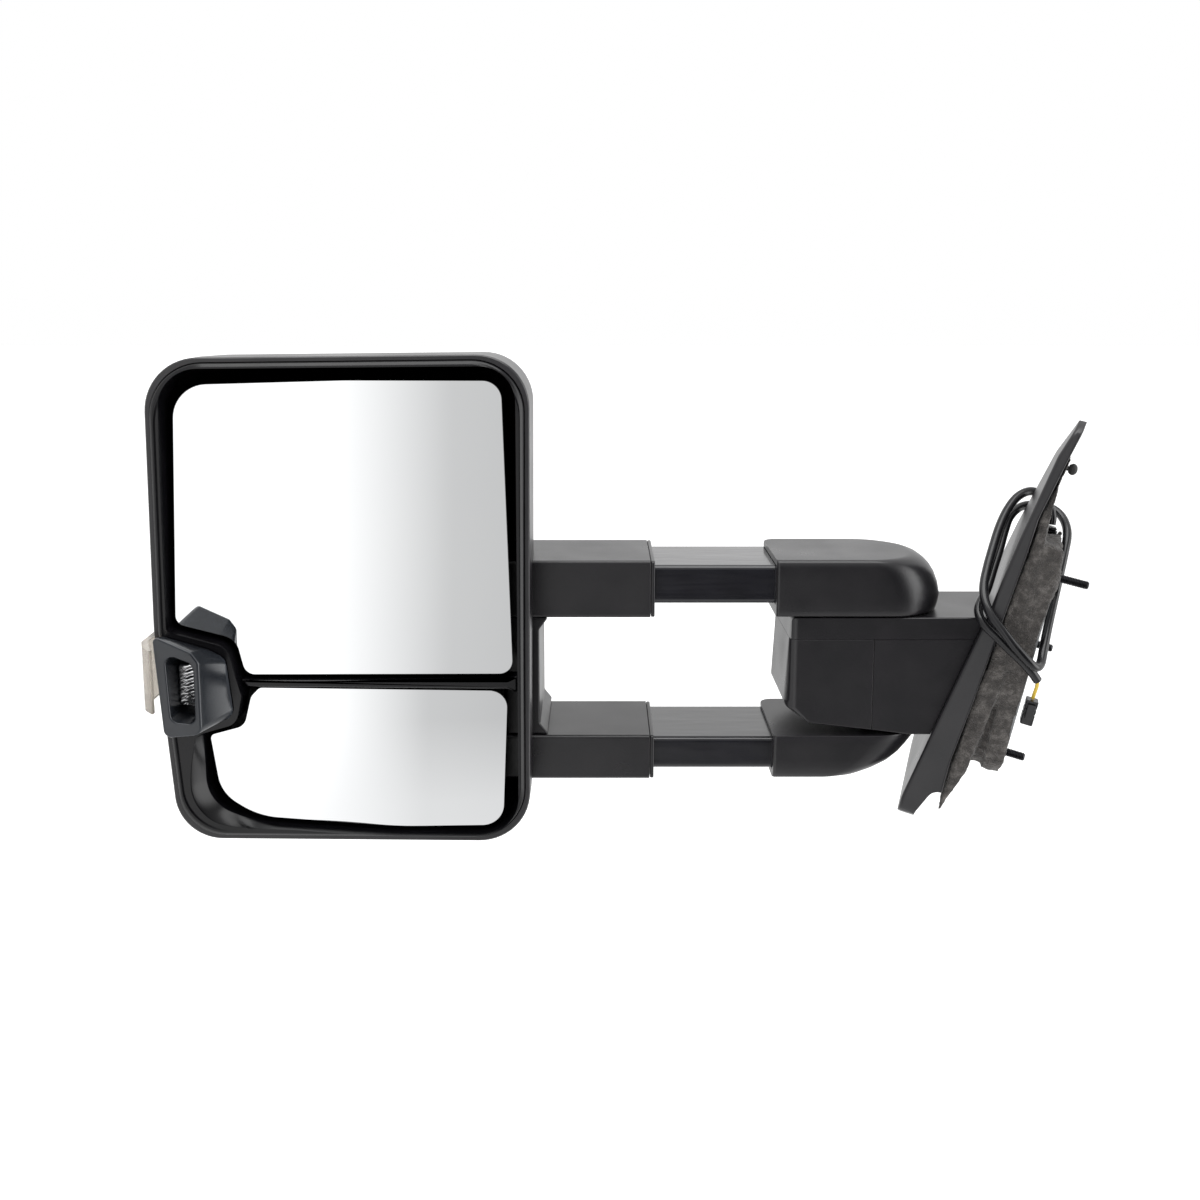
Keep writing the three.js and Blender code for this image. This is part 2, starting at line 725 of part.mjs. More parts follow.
function addPivotHardware() {
  const at = (geometry) => geometry.translate(PIVOT_X, 0, 0);
  const inner = SHAFT_RADIUS + GAP;
  const shaft = turned([
    [0, -106],
    [12, -106],
    [12, -102.3],
    [SHAFT_RADIUS, -102.3],
    [SHAFT_RADIUS, 30],
    [6, 30],
    [6, -101],
    [0, -101],
  ], 24);
  addPart('pivot_shaft', at(shaft), BRIGHT_STEEL);
  addPart('fixed_detent_ring', at(ring(inner, 19, -8.7, -5)), BLACK_STEEL);
  addPart('moving_detent_ring', at(ring(inner, 19, -4.6, -1.2)), BLACK_STEEL);

  const turns = 3;
  const springRadius = 12.6;
  const wire = 1.5;
  const springLow = 8 + GAP + wire;
  const springHigh = 24.4 - GAP - wire;
  const coil = Array.from({ length: turns * 12 + 1 }, (_, index) => {
    const angle = (index / 12) * 2 * Math.PI;
    const rise = (springHigh - springLow) * (index / (turns * 12));
    return new THREE.Vector3(
      springRadius * Math.cos(angle), springRadius * Math.sin(angle), springLow + rise);
  });
  const spring = new THREE.ExtrudeGeometry(new THREE.Shape(circle(0, 0, wire, 6)), {
    steps: turns * 16,
    curveSegments: 1,
    extrudePath: new THREE.CatmullRomCurve3(coil),
  });
  addPart('detent_spring', at(spring), BRIGHT_STEEL);
  addPart('spring_washer', at(ring(inner, 16, 24.4, 26.2)), BRIGHT_STEEL);
  const nut = extrude(circle(0, 0, 14, 6), 26.5, 30, [circle(0, 0, inner, 24)]);
  addPart('pivot_lock_nut', at(nut), BRIGHT_STEEL);
}

// ---------------------------------------------------------------- fold block

function addFoldBlock() {
  const wall = 3.5;
  const half = BLOCK_HALF_DEPTH;
  const plan = (inset) => extrudeZ(roundedOutline([
    [-186 + inset, -half + inset, 8],
    [40, -half + inset, 0],
    [40, half - inset, 0],
    [-186 + inset, half - inset, 8],
  ], 4), -100, 10);
  const elevation = (inset) => roundedOutline([
    [-181 + inset, BLOCK_TOP - inset, 3],
    [40, BLOCK_TOP - inset, 0],
    [40, -86 + inset, 0],
    [-100, -86 + inset, 20],
    [-168 + inset, -78 + inset, 8],
    [-185 + inset, -66 + inset, 6],
  ], 3);
  const coverMiddleN = -30;
  const armSide = onPlate(box([-400, -300, -300], [coverMiddleN, 300, 300]));
  const block = common(extrudeY(elevation(0), -half, half), plan(0), armSide);
  const outside = cut(block, onPlate(baseCoverBody(-GAP, 10)));
  const inside = common(extrudeY(elevation(wall), -half, half), plan(wall));
  const hollowShell = cut(outside, inside);
  const shaftHole = extrudeZ(circle(PIVOT_X, 0, 20, 28), -120, 10);
  const slice = (low, high) => cut(common(hollowShell, box(low, high)), shaftHole);
  const seam = GAP / 2;
  addPart(
    'fold_block_cap',
    slice([-300, -60, BLOCK_SEAM_Z + seam], [100, 60, 20]),
    GRAINED_BLACK,
  );
  addPart(
    'fold_block_outboard',
    slice([-300, -60, -120], [PIVOT_X - seam, 60, BLOCK_SEAM_Z - seam]),
    GRAINED_BLACK,
  );
  addPart(
    'fold_block_inboard',
    slice([PIVOT_X + seam, -60, -120], [100, 60, BLOCK_SEAM_Z - seam]),
    GRAINED_BLACK,
  );
}

// ---------------------------------------------------------------- door base

function plateOutline(inset) {
  return roundedOutline([
    [-44 + inset, 120 - 2 * inset, 3],
    [-31 - 0.5 * inset, 128 - 2 * inset, 3],
    [78 - inset, -40, 40],
    [82 - inset, -157 + inset, 14],
    [-72 + inset, -157 + inset, 8],
  ], 4);
}

// Side profile (n, u) of the cover. It flares towards the bottom, and the upper end
// leans in to follow the window pillar.
const COVER_OUTER_EDGE = [
  [-59, -170], [-58.5, -144], [-47, -76], [-36, -12], [-29.5, 42], [-20, 102], [-10, 135],
];
const COVER_BACK_EDGE = [
  [-6, 135], [-13, 102], [-21, 60], [-22, 36], [-30, -70], [-34, -112], [-34, -170],
];
const PAD = { low: [-45, -113], high: [49, 33] };
const PAD_CORNER_Y = 22;
const PAD_FRONT_N = -20;

function coverProfile(outerShift, backShift) {
  return [
    ...COVER_OUTER_EDGE.map(([n, u]) => new THREE.Vector2(n + outerShift, u)),
    ...COVER_BACK_EDGE.map(([n, u]) => new THREE.Vector2(n + backShift, u)),
  ].reverse();
}

function baseCoverBody(inset, backShift = 0) {
  return common(
    extrudeX(plateOutline(inset), -80, 20),
    extrudeY(coverProfile(inset, backShift), -120, 120),
  );
}

function addBaseCover() {
  const hollow = common(
    extrudeX(plateOutline(BASE_WALL), -80, 20),
    extrudeY(coverProfile(BASE_WALL, 5), -120, 120),
    box([-80, -120, -160], [20, 120, 62]),
  );
  const neckHole = box([-80, -40, -80], [0, 16, -35]);
  const lowerNotch = extrudeY(roundedOutline([
    [-20, -132, 0],
    [-40, -134, 8],
    [-47.5, -152, 12],
    [-47.5, -180, 0],
    [-20, -180, 0],
  ], 3), -120, 120);
  addPart(
    'base_cover',
    onPlate(cut(baseCoverBody(0), hollow, neckHole, lowerNotch)),
    GRAINED_BLACK,
  );
}

// The pad, with its upper front corner cut back along the cover's sloping edge.
function padBody(grow, lowN, highN) {
  const [lowY, lowU] = PAD.low.map((value) => value - grow);
  const [highY, highU] = PAD.high.map((value) => value + grow);
  const radius = 12 + grow;
  return extrudeX(roundedOutline([
    [lowY, lowU, radius],
    [highY, lowU, radius],
    [highY, -6, radius],
    [PAD_CORNER_Y + grow, highU, radius],
    [lowY, highU, radius],
  ], 3), lowN, highN);
}

function harnessBore(radius) {
  return extrudeZ(circle(HARNESS_EXIT.n, HARNESS_EXIT.y, radius, 20), 18, 60);
}

function addBaseFrame() {
  const studHoles = STUDS.map(({ y, u }) =>
    extrudeX(circle(y, u, STUD_RADIUS + GAP, 14), -16, 10));
  const plate = onPlate(cut(padBody(0, PAD_FRONT_N, 0), ...studHoles, harnessBore(5.3)));
  const column = extrudeZ(circle(PIVOT_X, 0, 19, 28), -80, -9.2);
  const neck = box([PIVOT_X, -17, -66], [-20, 17, -36]);
  const shaftBore = extrudeZ(circle(PIVOT_X, 0, SHAFT_RADIUS + GAP, 24), -120, 20);
  const doorSide = onPlate(box([0, -300, -300], [200, 300, 300]));
  addPart('base_frame', cut(join(plate, neck, column), shaftBore, doorSide), CAST_ALUMINIUM);
}

function addDoorGasket() {
  const flangeFront = [
    [-43, -150],
    [-38, -137.5],
    ...COVER_BACK_EDGE.slice(1, -1).reverse(),
  ].map(([n, u]) => new THREE.Vector2(n + GAP, u));
  const flangeBack = [
    [-10.5, 104],
    [-13, 84],
    [-12.5, 60],
    [-13, 0],
    [-15.5, -60],
    [-19.5, -95],
    [-21.5, -117],
    [-26, -131],
    [-33.5, -149.5],
  ].map(([n, u]) => new THREE.Vector2(n, u));
  const flange = common(
    extrudeX(plateOutline(3.5), -80, 20),
    extrudeY([...flangeFront, ...flangeBack], -120, 120),
  );
  const collarOutline = (inset) => rectangle(
    [PAD.low[0] - 11 + inset, PAD.low[1] - 6 + inset],
    [PAD.high[0] + 11 - inset, PAD.high[1] + 12 - inset],
    18,
    4,
  );
  const withinPlate = extrudeX(plateOutline(4), -80, 20);
  const collar = common(extrudeX(collarOutline(0), -14, -0.4), withinPlate);
  const behindCover = extrudeY([
    ...flangeFront,
    new THREE.Vector2(20, 102),
    new THREE.Vector2(20, -150),
  ], -120, 120);
  const waist = common(extrudeX(collarOutline(3), -36, -13), withinPlate, behindCover);
  const padHole = padBody(0.5, -60, 20);
  addPart('door_gasket', onPlate(cut(join(flange, collar, waist), padHole, harnessBore(7.3))), FOAM_GREY);
}

function addStuds() {
  STUDS.forEach(({ name, y, u, tip }) => {
    const profile = [
      [0, -14],
      [STUD_RADIUS, -14],
      [STUD_RADIUS, tip - 1.5],
      [2, tip],
      [0, tip],
    ];
    const stud = turned(profile, 14).rotateY(Math.PI / 2).translate(0, y, u);
    addPart(name, onPlate(stud), BLACK_STEEL);
  });
  const peg = turned([[0, 0], [3, 0], [4.5, 3], [4.5, 5], [2, 8], [0, 8]], 14);
  addPart('locator_peg', onPlate(peg.rotateY(Math.PI / 2).translate(-11, -36, 95)), INNER_BLACK);
}

// ---------------------------------------------------------------- wiring

// Where the sheathed harness runs, in the plate's frame: up out of its grommet,
// over the sloping front edge, down the outer side, round the rear edge, and again.
const HARNESS_ROUTE = [
  [-8, 14, 48], [-9, 15, 54], [-13, 17, 61], [-20, 18, 66.5], [-28, 15, 67], [-35, 8, 62],
  [-39.5, -2, 53], [-42, -14, 42], [-43, -27, 30], [-43.5, -40, 18], [-43, -51, 8],
  [-40, -60, 0], [-34, -66, -7], [-25, -69, -14], [-15, -70, -22], [-5, -69, -29],
  [1, -65, -32.5], [4, -57.5, -31.5], [4.2, -48, -24], [4, -36, -11], [4, -25, 3], [4, -14, 18],
  [4, -3, 32], [3.5, 10, 45], [-1, 21.5, 53], [-9, 28, 57], [-20, 28, 57], [-30, 22, 54],
  [-36, 11, 47], [-37.5, -1, 38], [-38, -14, 27], [-39, -27, 16], [-40, -41, 4],
  [-42.5, -53.5, -7], [-38, -61.5, -14], [-28, -63, -20], [-18, -63.5, -26], [-8, -62.5, -32],
  [0, -60, -38], [5, -57, -43],
];
const LEAD_ROUTE = [[5.2, -56.8, -43.6], [6, -55, -48], [6, -53, -53], [6, -52, -57.5]];
const CONNECTOR = { n: 6, y: -52, u: -58 };

function cord(points, diameter, steps) {
  const route = points.map((point) => new THREE.Vector3(...point));
  return new THREE.ExtrudeGeometry(new THREE.Shape(circle(0, 0, diameter / 2, 8)), {
    steps,
    curveSegments: 1,
    extrudePath: new THREE.CatmullRomCurve3(route),
  });
}

function addWiring() {
  const grommet = turned([
    [0, 20],
    [5, 20],
    [5, 34],
    [7, 34.5],
    [7, 41],
    [4.2, HARNESS_EXIT.u],
    [0, HARNESS_EXIT.u],
  ], 18);
  addPart(
    'harness_grommet',
    onPlate(grommet.translate(HARNESS_EXIT.n, HARNESS_EXIT.y, 0)),
    CABLE_BLACK,
  );
  addPart('wiring_harness', onPlate(cord(HARNESS_ROUTE, HARNESS_DIAMETER, 76)), CABLE_BLACK);
  addPart('signal_lead', onPlate(cord(LEAD_ROUTE, LEAD_DIAMETER, 4)), LEAD_YELLOW);
  const { n, y, u } = CONNECTOR;
  const body = extrudeZ(rectangle([n - 4, y - 5], [n + 4, y + 5], 1, 2), u - 17, u);
  addPart('harness_connector', onPlate(body), CABLE_BLACK);
  const latch = box([n - 2.5, y - 8, u - 12], [n + 2.5, y - 5 - GAP, u - 2]);
  addPart('connector_latch', onPlate(latch), CABLE_BLACK);
}

// ---------------------------------------------------------------- build

addRearShell();
addBezel();
addDividerBar();
addHeadFrame();
addGlass('upper', upperGlassOutline(), ACTUATOR_X, ACTUATOR_Z, 18, true);
addGlass('lower', lowerGlassOutline(), LOWER_PIVOT_X, LOWER_PIVOT_Z, 14, false);
addGimbal('upper_glass_gimbal', ACTUATOR_X, ACTUATOR_Z, 14);
addGimbal('lower_glass_gimbal', LOWER_PIVOT_X, LOWER_PIVOT_Z, 10);
addActuator();
addLowerGlassBracket();
addLightPod();
addTelescope('upper', UPPER);
addTelescope('lower', LOWER);
addSleeveBracket();
addArmCovers();
addKnuckles();
addPivotHardware();
addFoldBlock();
addBaseCover();
addBaseFrame();
addDoorGasket();
addStuds();
addWiring();

export default towingMirror;
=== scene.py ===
import json
import math

import bmesh
import bpy
from mathutils import Euler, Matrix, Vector, noise
from mathutils.geometry import tessellate_polygon


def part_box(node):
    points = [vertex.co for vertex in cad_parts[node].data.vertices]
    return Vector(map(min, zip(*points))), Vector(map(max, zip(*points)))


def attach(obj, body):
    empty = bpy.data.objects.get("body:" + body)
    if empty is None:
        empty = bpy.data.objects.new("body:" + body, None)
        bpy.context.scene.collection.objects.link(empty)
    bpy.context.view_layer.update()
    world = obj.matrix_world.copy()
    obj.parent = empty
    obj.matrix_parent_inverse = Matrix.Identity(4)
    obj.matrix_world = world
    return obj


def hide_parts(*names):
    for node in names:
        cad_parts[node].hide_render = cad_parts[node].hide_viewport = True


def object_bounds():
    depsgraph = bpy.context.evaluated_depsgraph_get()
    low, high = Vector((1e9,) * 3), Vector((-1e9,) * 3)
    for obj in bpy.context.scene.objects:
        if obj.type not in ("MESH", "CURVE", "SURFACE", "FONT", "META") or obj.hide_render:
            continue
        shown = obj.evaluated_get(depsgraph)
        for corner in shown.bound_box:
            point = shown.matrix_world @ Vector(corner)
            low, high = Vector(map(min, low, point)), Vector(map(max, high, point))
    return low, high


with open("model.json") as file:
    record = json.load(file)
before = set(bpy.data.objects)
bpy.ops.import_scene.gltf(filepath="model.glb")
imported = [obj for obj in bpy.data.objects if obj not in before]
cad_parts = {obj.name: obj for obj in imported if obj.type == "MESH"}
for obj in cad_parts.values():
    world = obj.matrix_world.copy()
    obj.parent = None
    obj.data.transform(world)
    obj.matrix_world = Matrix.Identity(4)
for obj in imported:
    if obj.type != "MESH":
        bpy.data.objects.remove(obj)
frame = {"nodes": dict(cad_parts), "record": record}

# A telescoping towing mirror, driver's side, fully extended. Metres, +Z up, +X towards
# the door, +Y towards the front of the vehicle. The origin is on the door pad.
# Outlines and routes are in millimetres and become metres when a mesh is made.

CAD_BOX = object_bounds()
MM = 0.001


# ---- places from the frame

def box_mm(node):
    """Lowest and highest corner of a CAD node, in millimetres."""
    low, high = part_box(node)
    return low / MM, high / MM


SHELL_LOW, SHELL_HIGH = box_mm("rear_shell")
HEAD_LEFT = SHELL_LOW.x
HEAD_RIGHT = SHELL_HIGH.x
HEAD_BOTTOM = SHELL_LOW.z
HEAD_TOP = SHELL_HIGH.z
LIP_Y = box_mm("bezel")[0].y
GLASS_Y = box_mm("upper_mirror_glass")[0].y
GLASS_BACK_Y = box_mm("upper_mirror_glass")[1].y
WALL = 2.8
PIVOT_X = -126
PLATE_TILT = math.radians(12)
PLATE_YAW = math.radians(18)
PLATE_TURN = Euler((0, PLATE_TILT, -PLATE_YAW), "XYZ").to_matrix()


def from_plate(n, y, u):
    """A point of the door plate's frame (n towards the door, y forward, u up), in the part's."""
    return PLATE_TURN @ Vector((n, y, u))


# ---- outlines

def rounded(corners, steps=12):
    """Closed outline with rounded corners, each corner (x, y, radius), anticlockwise."""
    side_share = 0.46
    points = []
    count = len(corners)
    for index, (x, y, radius) in enumerate(corners):
        corner = Vector((x, y))
        before = Vector(corners[index - 1][:2]) - corner
        after = Vector(corners[(index + 1) % count][:2]) - corner
        room = side_share * min(before.length, after.length)
        before.normalize()
        after.normalize()
        half = max(0.02, before.angle(after) / 2)
        reach = min(radius / math.tan(half), room)
        if reach < 0.01:
            points.append(corner)
            continue
        arc = reach * math.tan(half)
        centre = corner + (before + after).normalized() * (arc / math.sin(half))
        start = corner + before * reach - centre
        end = corner + after * reach - centre
        first = math.atan2(start.y, start.x)
        sweep = math.atan2(end.y, end.x) - first
        sweep -= round(sweep / math.tau) * math.tau
        for step in range(steps + 1):
            angle = first + sweep * step / steps
            points.append(centre + Vector((math.cos(angle), math.sin(angle))) * arc)
    area = sum(a.x * b.y - b.x * a.y for a, b in zip(points, points[1:] + points[:1]))
    return points if area > 0 else points[::-1]


def rectangle(low_x, low_y, high_x, high_y, radius, steps=6):
    return rounded([
        (low_x, low_y, radius),
        (high_x, low_y, radius),
        (high_x, high_y, radius),
        (low_x, high_y, radius),
    ], steps)


def circle(x, y, radius, sides=40):
    return [
        Vector((x + radius * math.cos(math.tau * k / sides), y + radius * math.sin(math.tau * k / sides)))
        for k in range(sides)
    ]


def inset(outline, amount):
    """The outline moved in by amount, or by one amount for each point, along its normals."""
    amounts = amount if isinstance(amount, list) else [amount] * len(outline)
    moved = []
    for index, point in enumerate(outline):
        before = point - outline[index - 1]
        after = outline[(index + 1) % len(outline)] - point
        along = (before.normalized() + after.normalized()).normalized()
        moved.append(point + Vector((-along.y, along.x)) * amounts[index])
    return moved


# ---- meshes

def along_x(a, b, height):
    return Vector((height, a, b))


def along_y(a, b, height):
    return Vector((a, height, b))


def along_z(a, b, height):
    return Vector((a, b, height))


def linked(name, data):
    """A new object in the scene that holds the data."""
    thing = bpy.data.objects.new(name, data)
    bpy.context.scene.collection.objects.link(thing)
    return thing


def make_piece(name, mesh, body, slot, node, sharp=35):
    """Finishes a piece: normals, smooth shading, material, and what it rides and replaces."""
    edit = bmesh.new()
    edit.from_mesh(mesh)
    bmesh.ops.remove_doubles(edit, verts=edit.verts, dist=0.00001)
    bmesh.ops.recalc_face_normals(edit, faces=edit.faces)
    for edge in edit.edges:
        if len(edge.link_faces) == 2 and edge.calc_face_angle(0) > math.radians(sharp):
            edge.smooth = False
    for face in edit.faces:
        face.smooth = True
    edit.to_mesh(mesh)
    edit.free()
    piece = linked(name, mesh)
    piece.data.materials.append(material(slot))
    normals = piece.modifiers.new("normals", "WEIGHTED_NORMAL")
    normals.keep_sharp = True
    normals.weight = 80
    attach(piece, body)
    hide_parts(node)
    return piece


def tube_faces(rings, sides):
    """Quads between rings of points that all have the same number of sides."""
    faces = []
    for ring in range(rings - 1):
        for side in range(sides):
            a = ring * sides + side
            b = ring * sides + (side + 1) % sides
            faces.append((a, b, b + sides, a + sides))
    return faces


def skin(levels, place, hollow=None):
    """Mesh through outlines [(outline, height)], capped at both ends.
    hollow is a like stack for the inside wall, which joins the outside at both ends."""
    verts = []
    faces = []

    def add_stack(stack, flip):
        start = len(verts)
        count = len(stack[0][0])
        for outline, height in stack:
            verts.extend(place(point.x, point.y, height) for point in outline)
        for quad in tube_faces(len(stack), count):
            quad = tuple(start + corner for corner in quad)
            faces.append(quad[::-1] if flip else quad)
        return start, start + (len(stack) - 1) * count, count

    bottom, top, count = add_stack(levels, False)
    if hollow is None:
        faces.append(tuple(range(bottom, bottom + count))[::-1])
        faces.append(tuple(range(top, top + count)))
    else:
        low, high, inner = add_stack(hollow, True)
        for outer_start, inner_start, stack_index in ((bottom, low, 0), (top, high, -1)):
            loops = [
                [Vector((p.x, p.y, 0)) for p in levels[stack_index][0]],
                [Vector((p.x, p.y, 0)) for p in hollow[stack_index][0]],
            ]
            ids = list(range(outer_start, outer_start + count))
            ids += list(range(inner_start, inner_start + inner))
            faces.extend(tuple(ids[i] for i in tri) for tri in tessellate_polygon(loops))
    mesh = bpy.data.meshes.new("mesh")
    mesh.from_pydata([v * MM for v in verts], [], faces)
    return mesh


def soft_edges(outline, low, high, radius, steps=4):
    """Levels for a slab between low and high whose rims are rounded off by radius."""
    turns = [math.pi / 2 * step / steps for step in range(steps + 1)]
    arc = [(radius * (1 - math.sin(turn)), radius * (1 - math.cos(turn))) for turn in turns]
    levels = [(inset(outline, aside), low + rise) for aside, rise in arc]
    levels += [(inset(outline, rise), high - aside) for aside, rise in arc]
    return levels


def bevel(piece, width, angle, segments):
    """Rounds the edges sharper than the angle, ahead of the piece's other modifiers."""
    modifier = piece.modifiers.new("edge", "BEVEL")
    modifier.width = width * MM
    modifier.segments = segments
    modifier.limit_method = "ANGLE"
    modifier.angle_limit = math.radians(angle)
    modifier.use_clamp_overlap = True
    piece.modifiers.move(len(piece.modifiers) - 1, 0)


def current_mesh(piece):
    """The piece's mesh as its modifiers leave it."""
    bpy.context.view_layer.update()
    return bpy.data.meshes.new_from_object(piece.evaluated_get(bpy.context.evaluated_depsgraph_get()))


def boolean(piece, other, operation):
    """The piece's mesh after a boolean with another mesh, ahead of its other modifiers."""
    tool = linked("tool", other)
    modifier = piece.modifiers.new("cut", "BOOLEAN")
    modifier.object = tool
    modifier.operation = operation
    modifier.solver = "EXACT"
    piece.modifiers.move(len(piece.modifiers) - 1, 0)
    mesh = current_mesh(piece)
    bpy.data.objects.remove(tool)
    return mesh


# ---- materials

MATERIALS = {}


class Tree:
    """Small helper for building the nodes of a material or of the world."""

    def __init__(self, tree):
        self.tree = tree

    def add(self, kind, **inputs):
        """A new node, with each input set to a constant or linked to another node's output."""
        node = self.tree.nodes.new("ShaderNode" + kind)
        for name, value in inputs.items():
            socket = node.inputs[name.replace("_", " ")]
            if isinstance(value, bpy.types.NodeSocket):
                self.tree.links.new(value, socket)
            else:
                socket.default_value = value
        return node

    def ramp(self, value, stops):
        """Colour ramp driven by a value, with stops (position, (red, green, blue))."""
        node = self.add("ValToRGB", Fac=value)
        elements = node.color_ramp.elements
        while len(elements) < len(stops):
            elements.new(0.5)
        for element, (position, colour) in zip(elements, stops):
            element.position = position
            element.color = (*colour, 1)
        return node.outputs["Color"]

    def spread(self, value, low, high, start=0.3, end=0.7):
        """The value, with start..end brought to low..high."""
        node = self.add("MapRange", Value=value, From_Min=start, From_Max=end, To_Min=low, To_Max=high)
        return node.outputs["Result"]

    def mix(self, share, low, high):
        return self.add("MixRGB", Fac=share, Color1=low, Color2=high).outputs["Color"]


class Paint(Tree):
    """One procedural material."""

    def __init__(self, name):
        self.material = bpy.data.materials.new(name)
        self.material.use_nodes = True
        super().__init__(self.material.node_tree)
        self.shader = self.tree.nodes["Principled BSDF"]
        self.place = self.add("TexCoord").outputs["Object"]

    def set(self, **values):
        for name, value in values.items():
            self.shader.inputs[name.replace("_", " ")].default_value = value

    def link(self, **outputs):
        for name, output in outputs.items():
            self.tree.links.new(output, self.shader.inputs[name.replace("_", " ")])

    def noise(self, scale, detail=3, roughness=0.55, stretch=None):
        place = self.place
        if stretch:
            place = self.add("Mapping", Vector=place, Scale=stretch).outputs["Vector"]
        node = self.add("TexNoise", Vector=place, Scale=scale, Detail=detail, Roughness=roughness)
        return node.outputs["Fac"]

    def voronoi(self, scale):
        return self.add("TexVoronoi", Vector=self.place, Scale=scale).outputs["Distance"]

    def colour(self, value, dark, light, start=0.3, end=0.7):
        """Base colour that runs from dark to light with the value."""
        self.link(Base_Color=self.ramp(value, [(start, dark), (end, light)]))

    def rough(self, value, low, high):
        self.link(Roughness=self.spread(value, low, high))

    def wear_and_highlight_edges(self, colour, bright, amount):
        """Lightens convex edges a little: part handling wear, part painted highlight along the rims."""
        pointiness = self.add("NewGeometry").outputs["Pointiness"]
        return self.mix(self.spread(pointiness, 0, amount, 0.52, 0.6), colour, (*bright, 1))

    def bump(self, height, strength, distance, below=None):
        node = self.add("Bump", Height=height, Strength=strength, Distance=distance)
        if below:
            self.tree.links.new(below, node.inputs["Normal"])
        return node.outputs["Normal"]


def moulded_plastic(name, dark, light, rough, grain_scale, grain_strength, wear_and_highlight=0.25, gloss=0.6):
    """Black plastic with a moulded grain, faint mottling and slightly paler edges, part wear and part
    painted highlight.
    """
    grain_depth = 0.00022
    fine_depth = 0.00008
    n = Paint(name)
    mottled = n.ramp(n.noise(30, 2), [(0.3, dark), (0.7, light)])
    # Paler colour on convex edges: part wear, part painted highlight along the rims.
    wear_and_highlight_colour = [channel * 2.2 for channel in light]
    n.link(Base_Color=n.wear_and_highlight_edges(mottled, wear_and_highlight_colour, wear_and_highlight))
    n.rough(n.noise(24, 2), *rough)
    grain = n.bump(n.noise(grain_scale, 2), grain_strength, grain_depth)
    fine = n.noise(grain_scale * 2.5, 2)
    n.link(Normal=n.bump(fine, grain_strength * 0.6, fine_depth, grain))
    n.set(Specular_IOR_Level=gloss)
    return n.material


def grained_black():
    return moulded_plastic(
        "grained_black", (0.0075, 0.0072, 0.009), (0.0135, 0.0125, 0.0145), (0.27, 0.34), 1000, 0.3)


def bezel_black():
    dark = (0.0025, 0.0025, 0.0032)
    light = (0.0042, 0.004, 0.005)
    return moulded_plastic("bezel_black", dark, light, (0.18, 0.26), 1800, 0.12, 0.1, 0.36)


def inner_black():
    return moulded_plastic(
        "inner_black", (0.012, 0.012, 0.012), (0.018, 0.018, 0.018), (0.55, 0.7), 1200, 0.3, 0.1)


def pod_grey():
    # The large edge amount paints highlights onto the pod's rim edges.
    return moulded_plastic(
        "pod_grey", (0.014, 0.016, 0.020), (0.022, 0.025, 0.030), (0.14, 0.24), 1500, 0.15, 0.8)


def tube_black():
    n = Paint("tube_black")
    n.colour(n.noise(25, 3), (0.008, 0.008, 0.010), (0.013, 0.013, 0.017))
    n.rough(n.noise(900, 2, stretch=(0.03, 1, 1)), 0.14, 0.26)
    waves = n.bump(n.noise(60, 2, stretch=(0.25, 1, 1)), 0.5, 0.0007)
    n.link(Normal=n.bump(n.noise(300, 3), 0.12, 0.00005, waves))
    n.set(Coat_Weight=0.4, Coat_Roughness=0.08)
    return n.material


def foam_grey():
    n = Paint("foam_grey")
    cells = n.voronoi(900)
    n.link(Base_Color=n.ramp(n.noise(160, 6, 0.7), [
        (0.25, (0.022, 0.02, 0.019)), (0.5, (0.06, 0.054, 0.05)), (0.72, (0.16, 0.148, 0.138)),
    ]))
    n.rough(n.noise(200, 3), 0.8, 0.96)
    lumps = n.bump(n.noise(140, 6, 0.75), 1.0, 0.0022)
    n.link(Normal=n.bump(cells, 0.9, 0.0006, lumps))
    n.set(Sheen_Weight=0.25, Sheen_Roughness=0.5)
    return n.material


def cable_black():
    n = Paint("cable_black")
    n.colour(n.noise(120, 4), (0.004, 0.004, 0.005), (0.010, 0.010, 0.012), 0.3, 0.75)
    n.rough(n.noise(260, 3), 0.14, 0.26)
    n.link(Normal=n.bump(n.noise(700, 3), 0.25, 0.0001))
    return n.material


def lead_yellow():
    n = Paint("lead_yellow")
    n.colour(n.noise(200, 3), (0.62, 0.42, 0.035), (0.76, 0.56, 0.07))
    n.rough(n.noise(300, 2), 0.3, 0.45)
    n.link(Normal=n.bump(n.noise(900, 2), 0.15, 0.00005))
    return n.material


def nylon():
    n = Paint("nylon")
    n.colour(n.noise(60, 4), (0.55, 0.52, 0.45), (0.66, 0.63, 0.56))
    n.rough(n.noise(120, 3), 0.4, 0.55)
    n.link(Normal=n.bump(n.noise(800, 3), 0.2, 0.0001))
    n.set(Subsurface_Weight=0.15, Subsurface_Scale=0.002)
    return n.material


def board_green():
    n = Paint("board_green")
    n.colour(n.voronoi(600), (0.015, 0.1, 0.04), (0.03, 0.16, 0.07), 0.2, 0.6)
    n.rough(n.noise(300, 3), 0.25, 0.4)
    n.link(Normal=n.bump(n.voronoi(700), 0.3, 0.0001))
    return n.material


def heater_brown():
    n = Paint("heater_brown")
    n.colour(n.noise(400, 2, stretch=(1, 1, 0.1)), (0.16, 0.07, 0.02), (0.26, 0.12, 0.05), 0.4, 0.6)
    n.rough(n.noise(200, 2), 0.4, 0.55)
    n.link(Normal=n.bump(n.noise(600, 2), 0.2, 0.0001))
    return n.material


def metal(name, dark, light, rough, grain, stretch=None):
    n = Paint(name)
    n.colour(n.noise(70, 4), dark, light)
    n.rough(n.noise(grain, 3, stretch=stretch), *rough)
    n.link(Normal=n.bump(n.noise(grain * 2, 3), 0.2, 0.00008))
    n.set(Metallic=1.0)
    return n.material


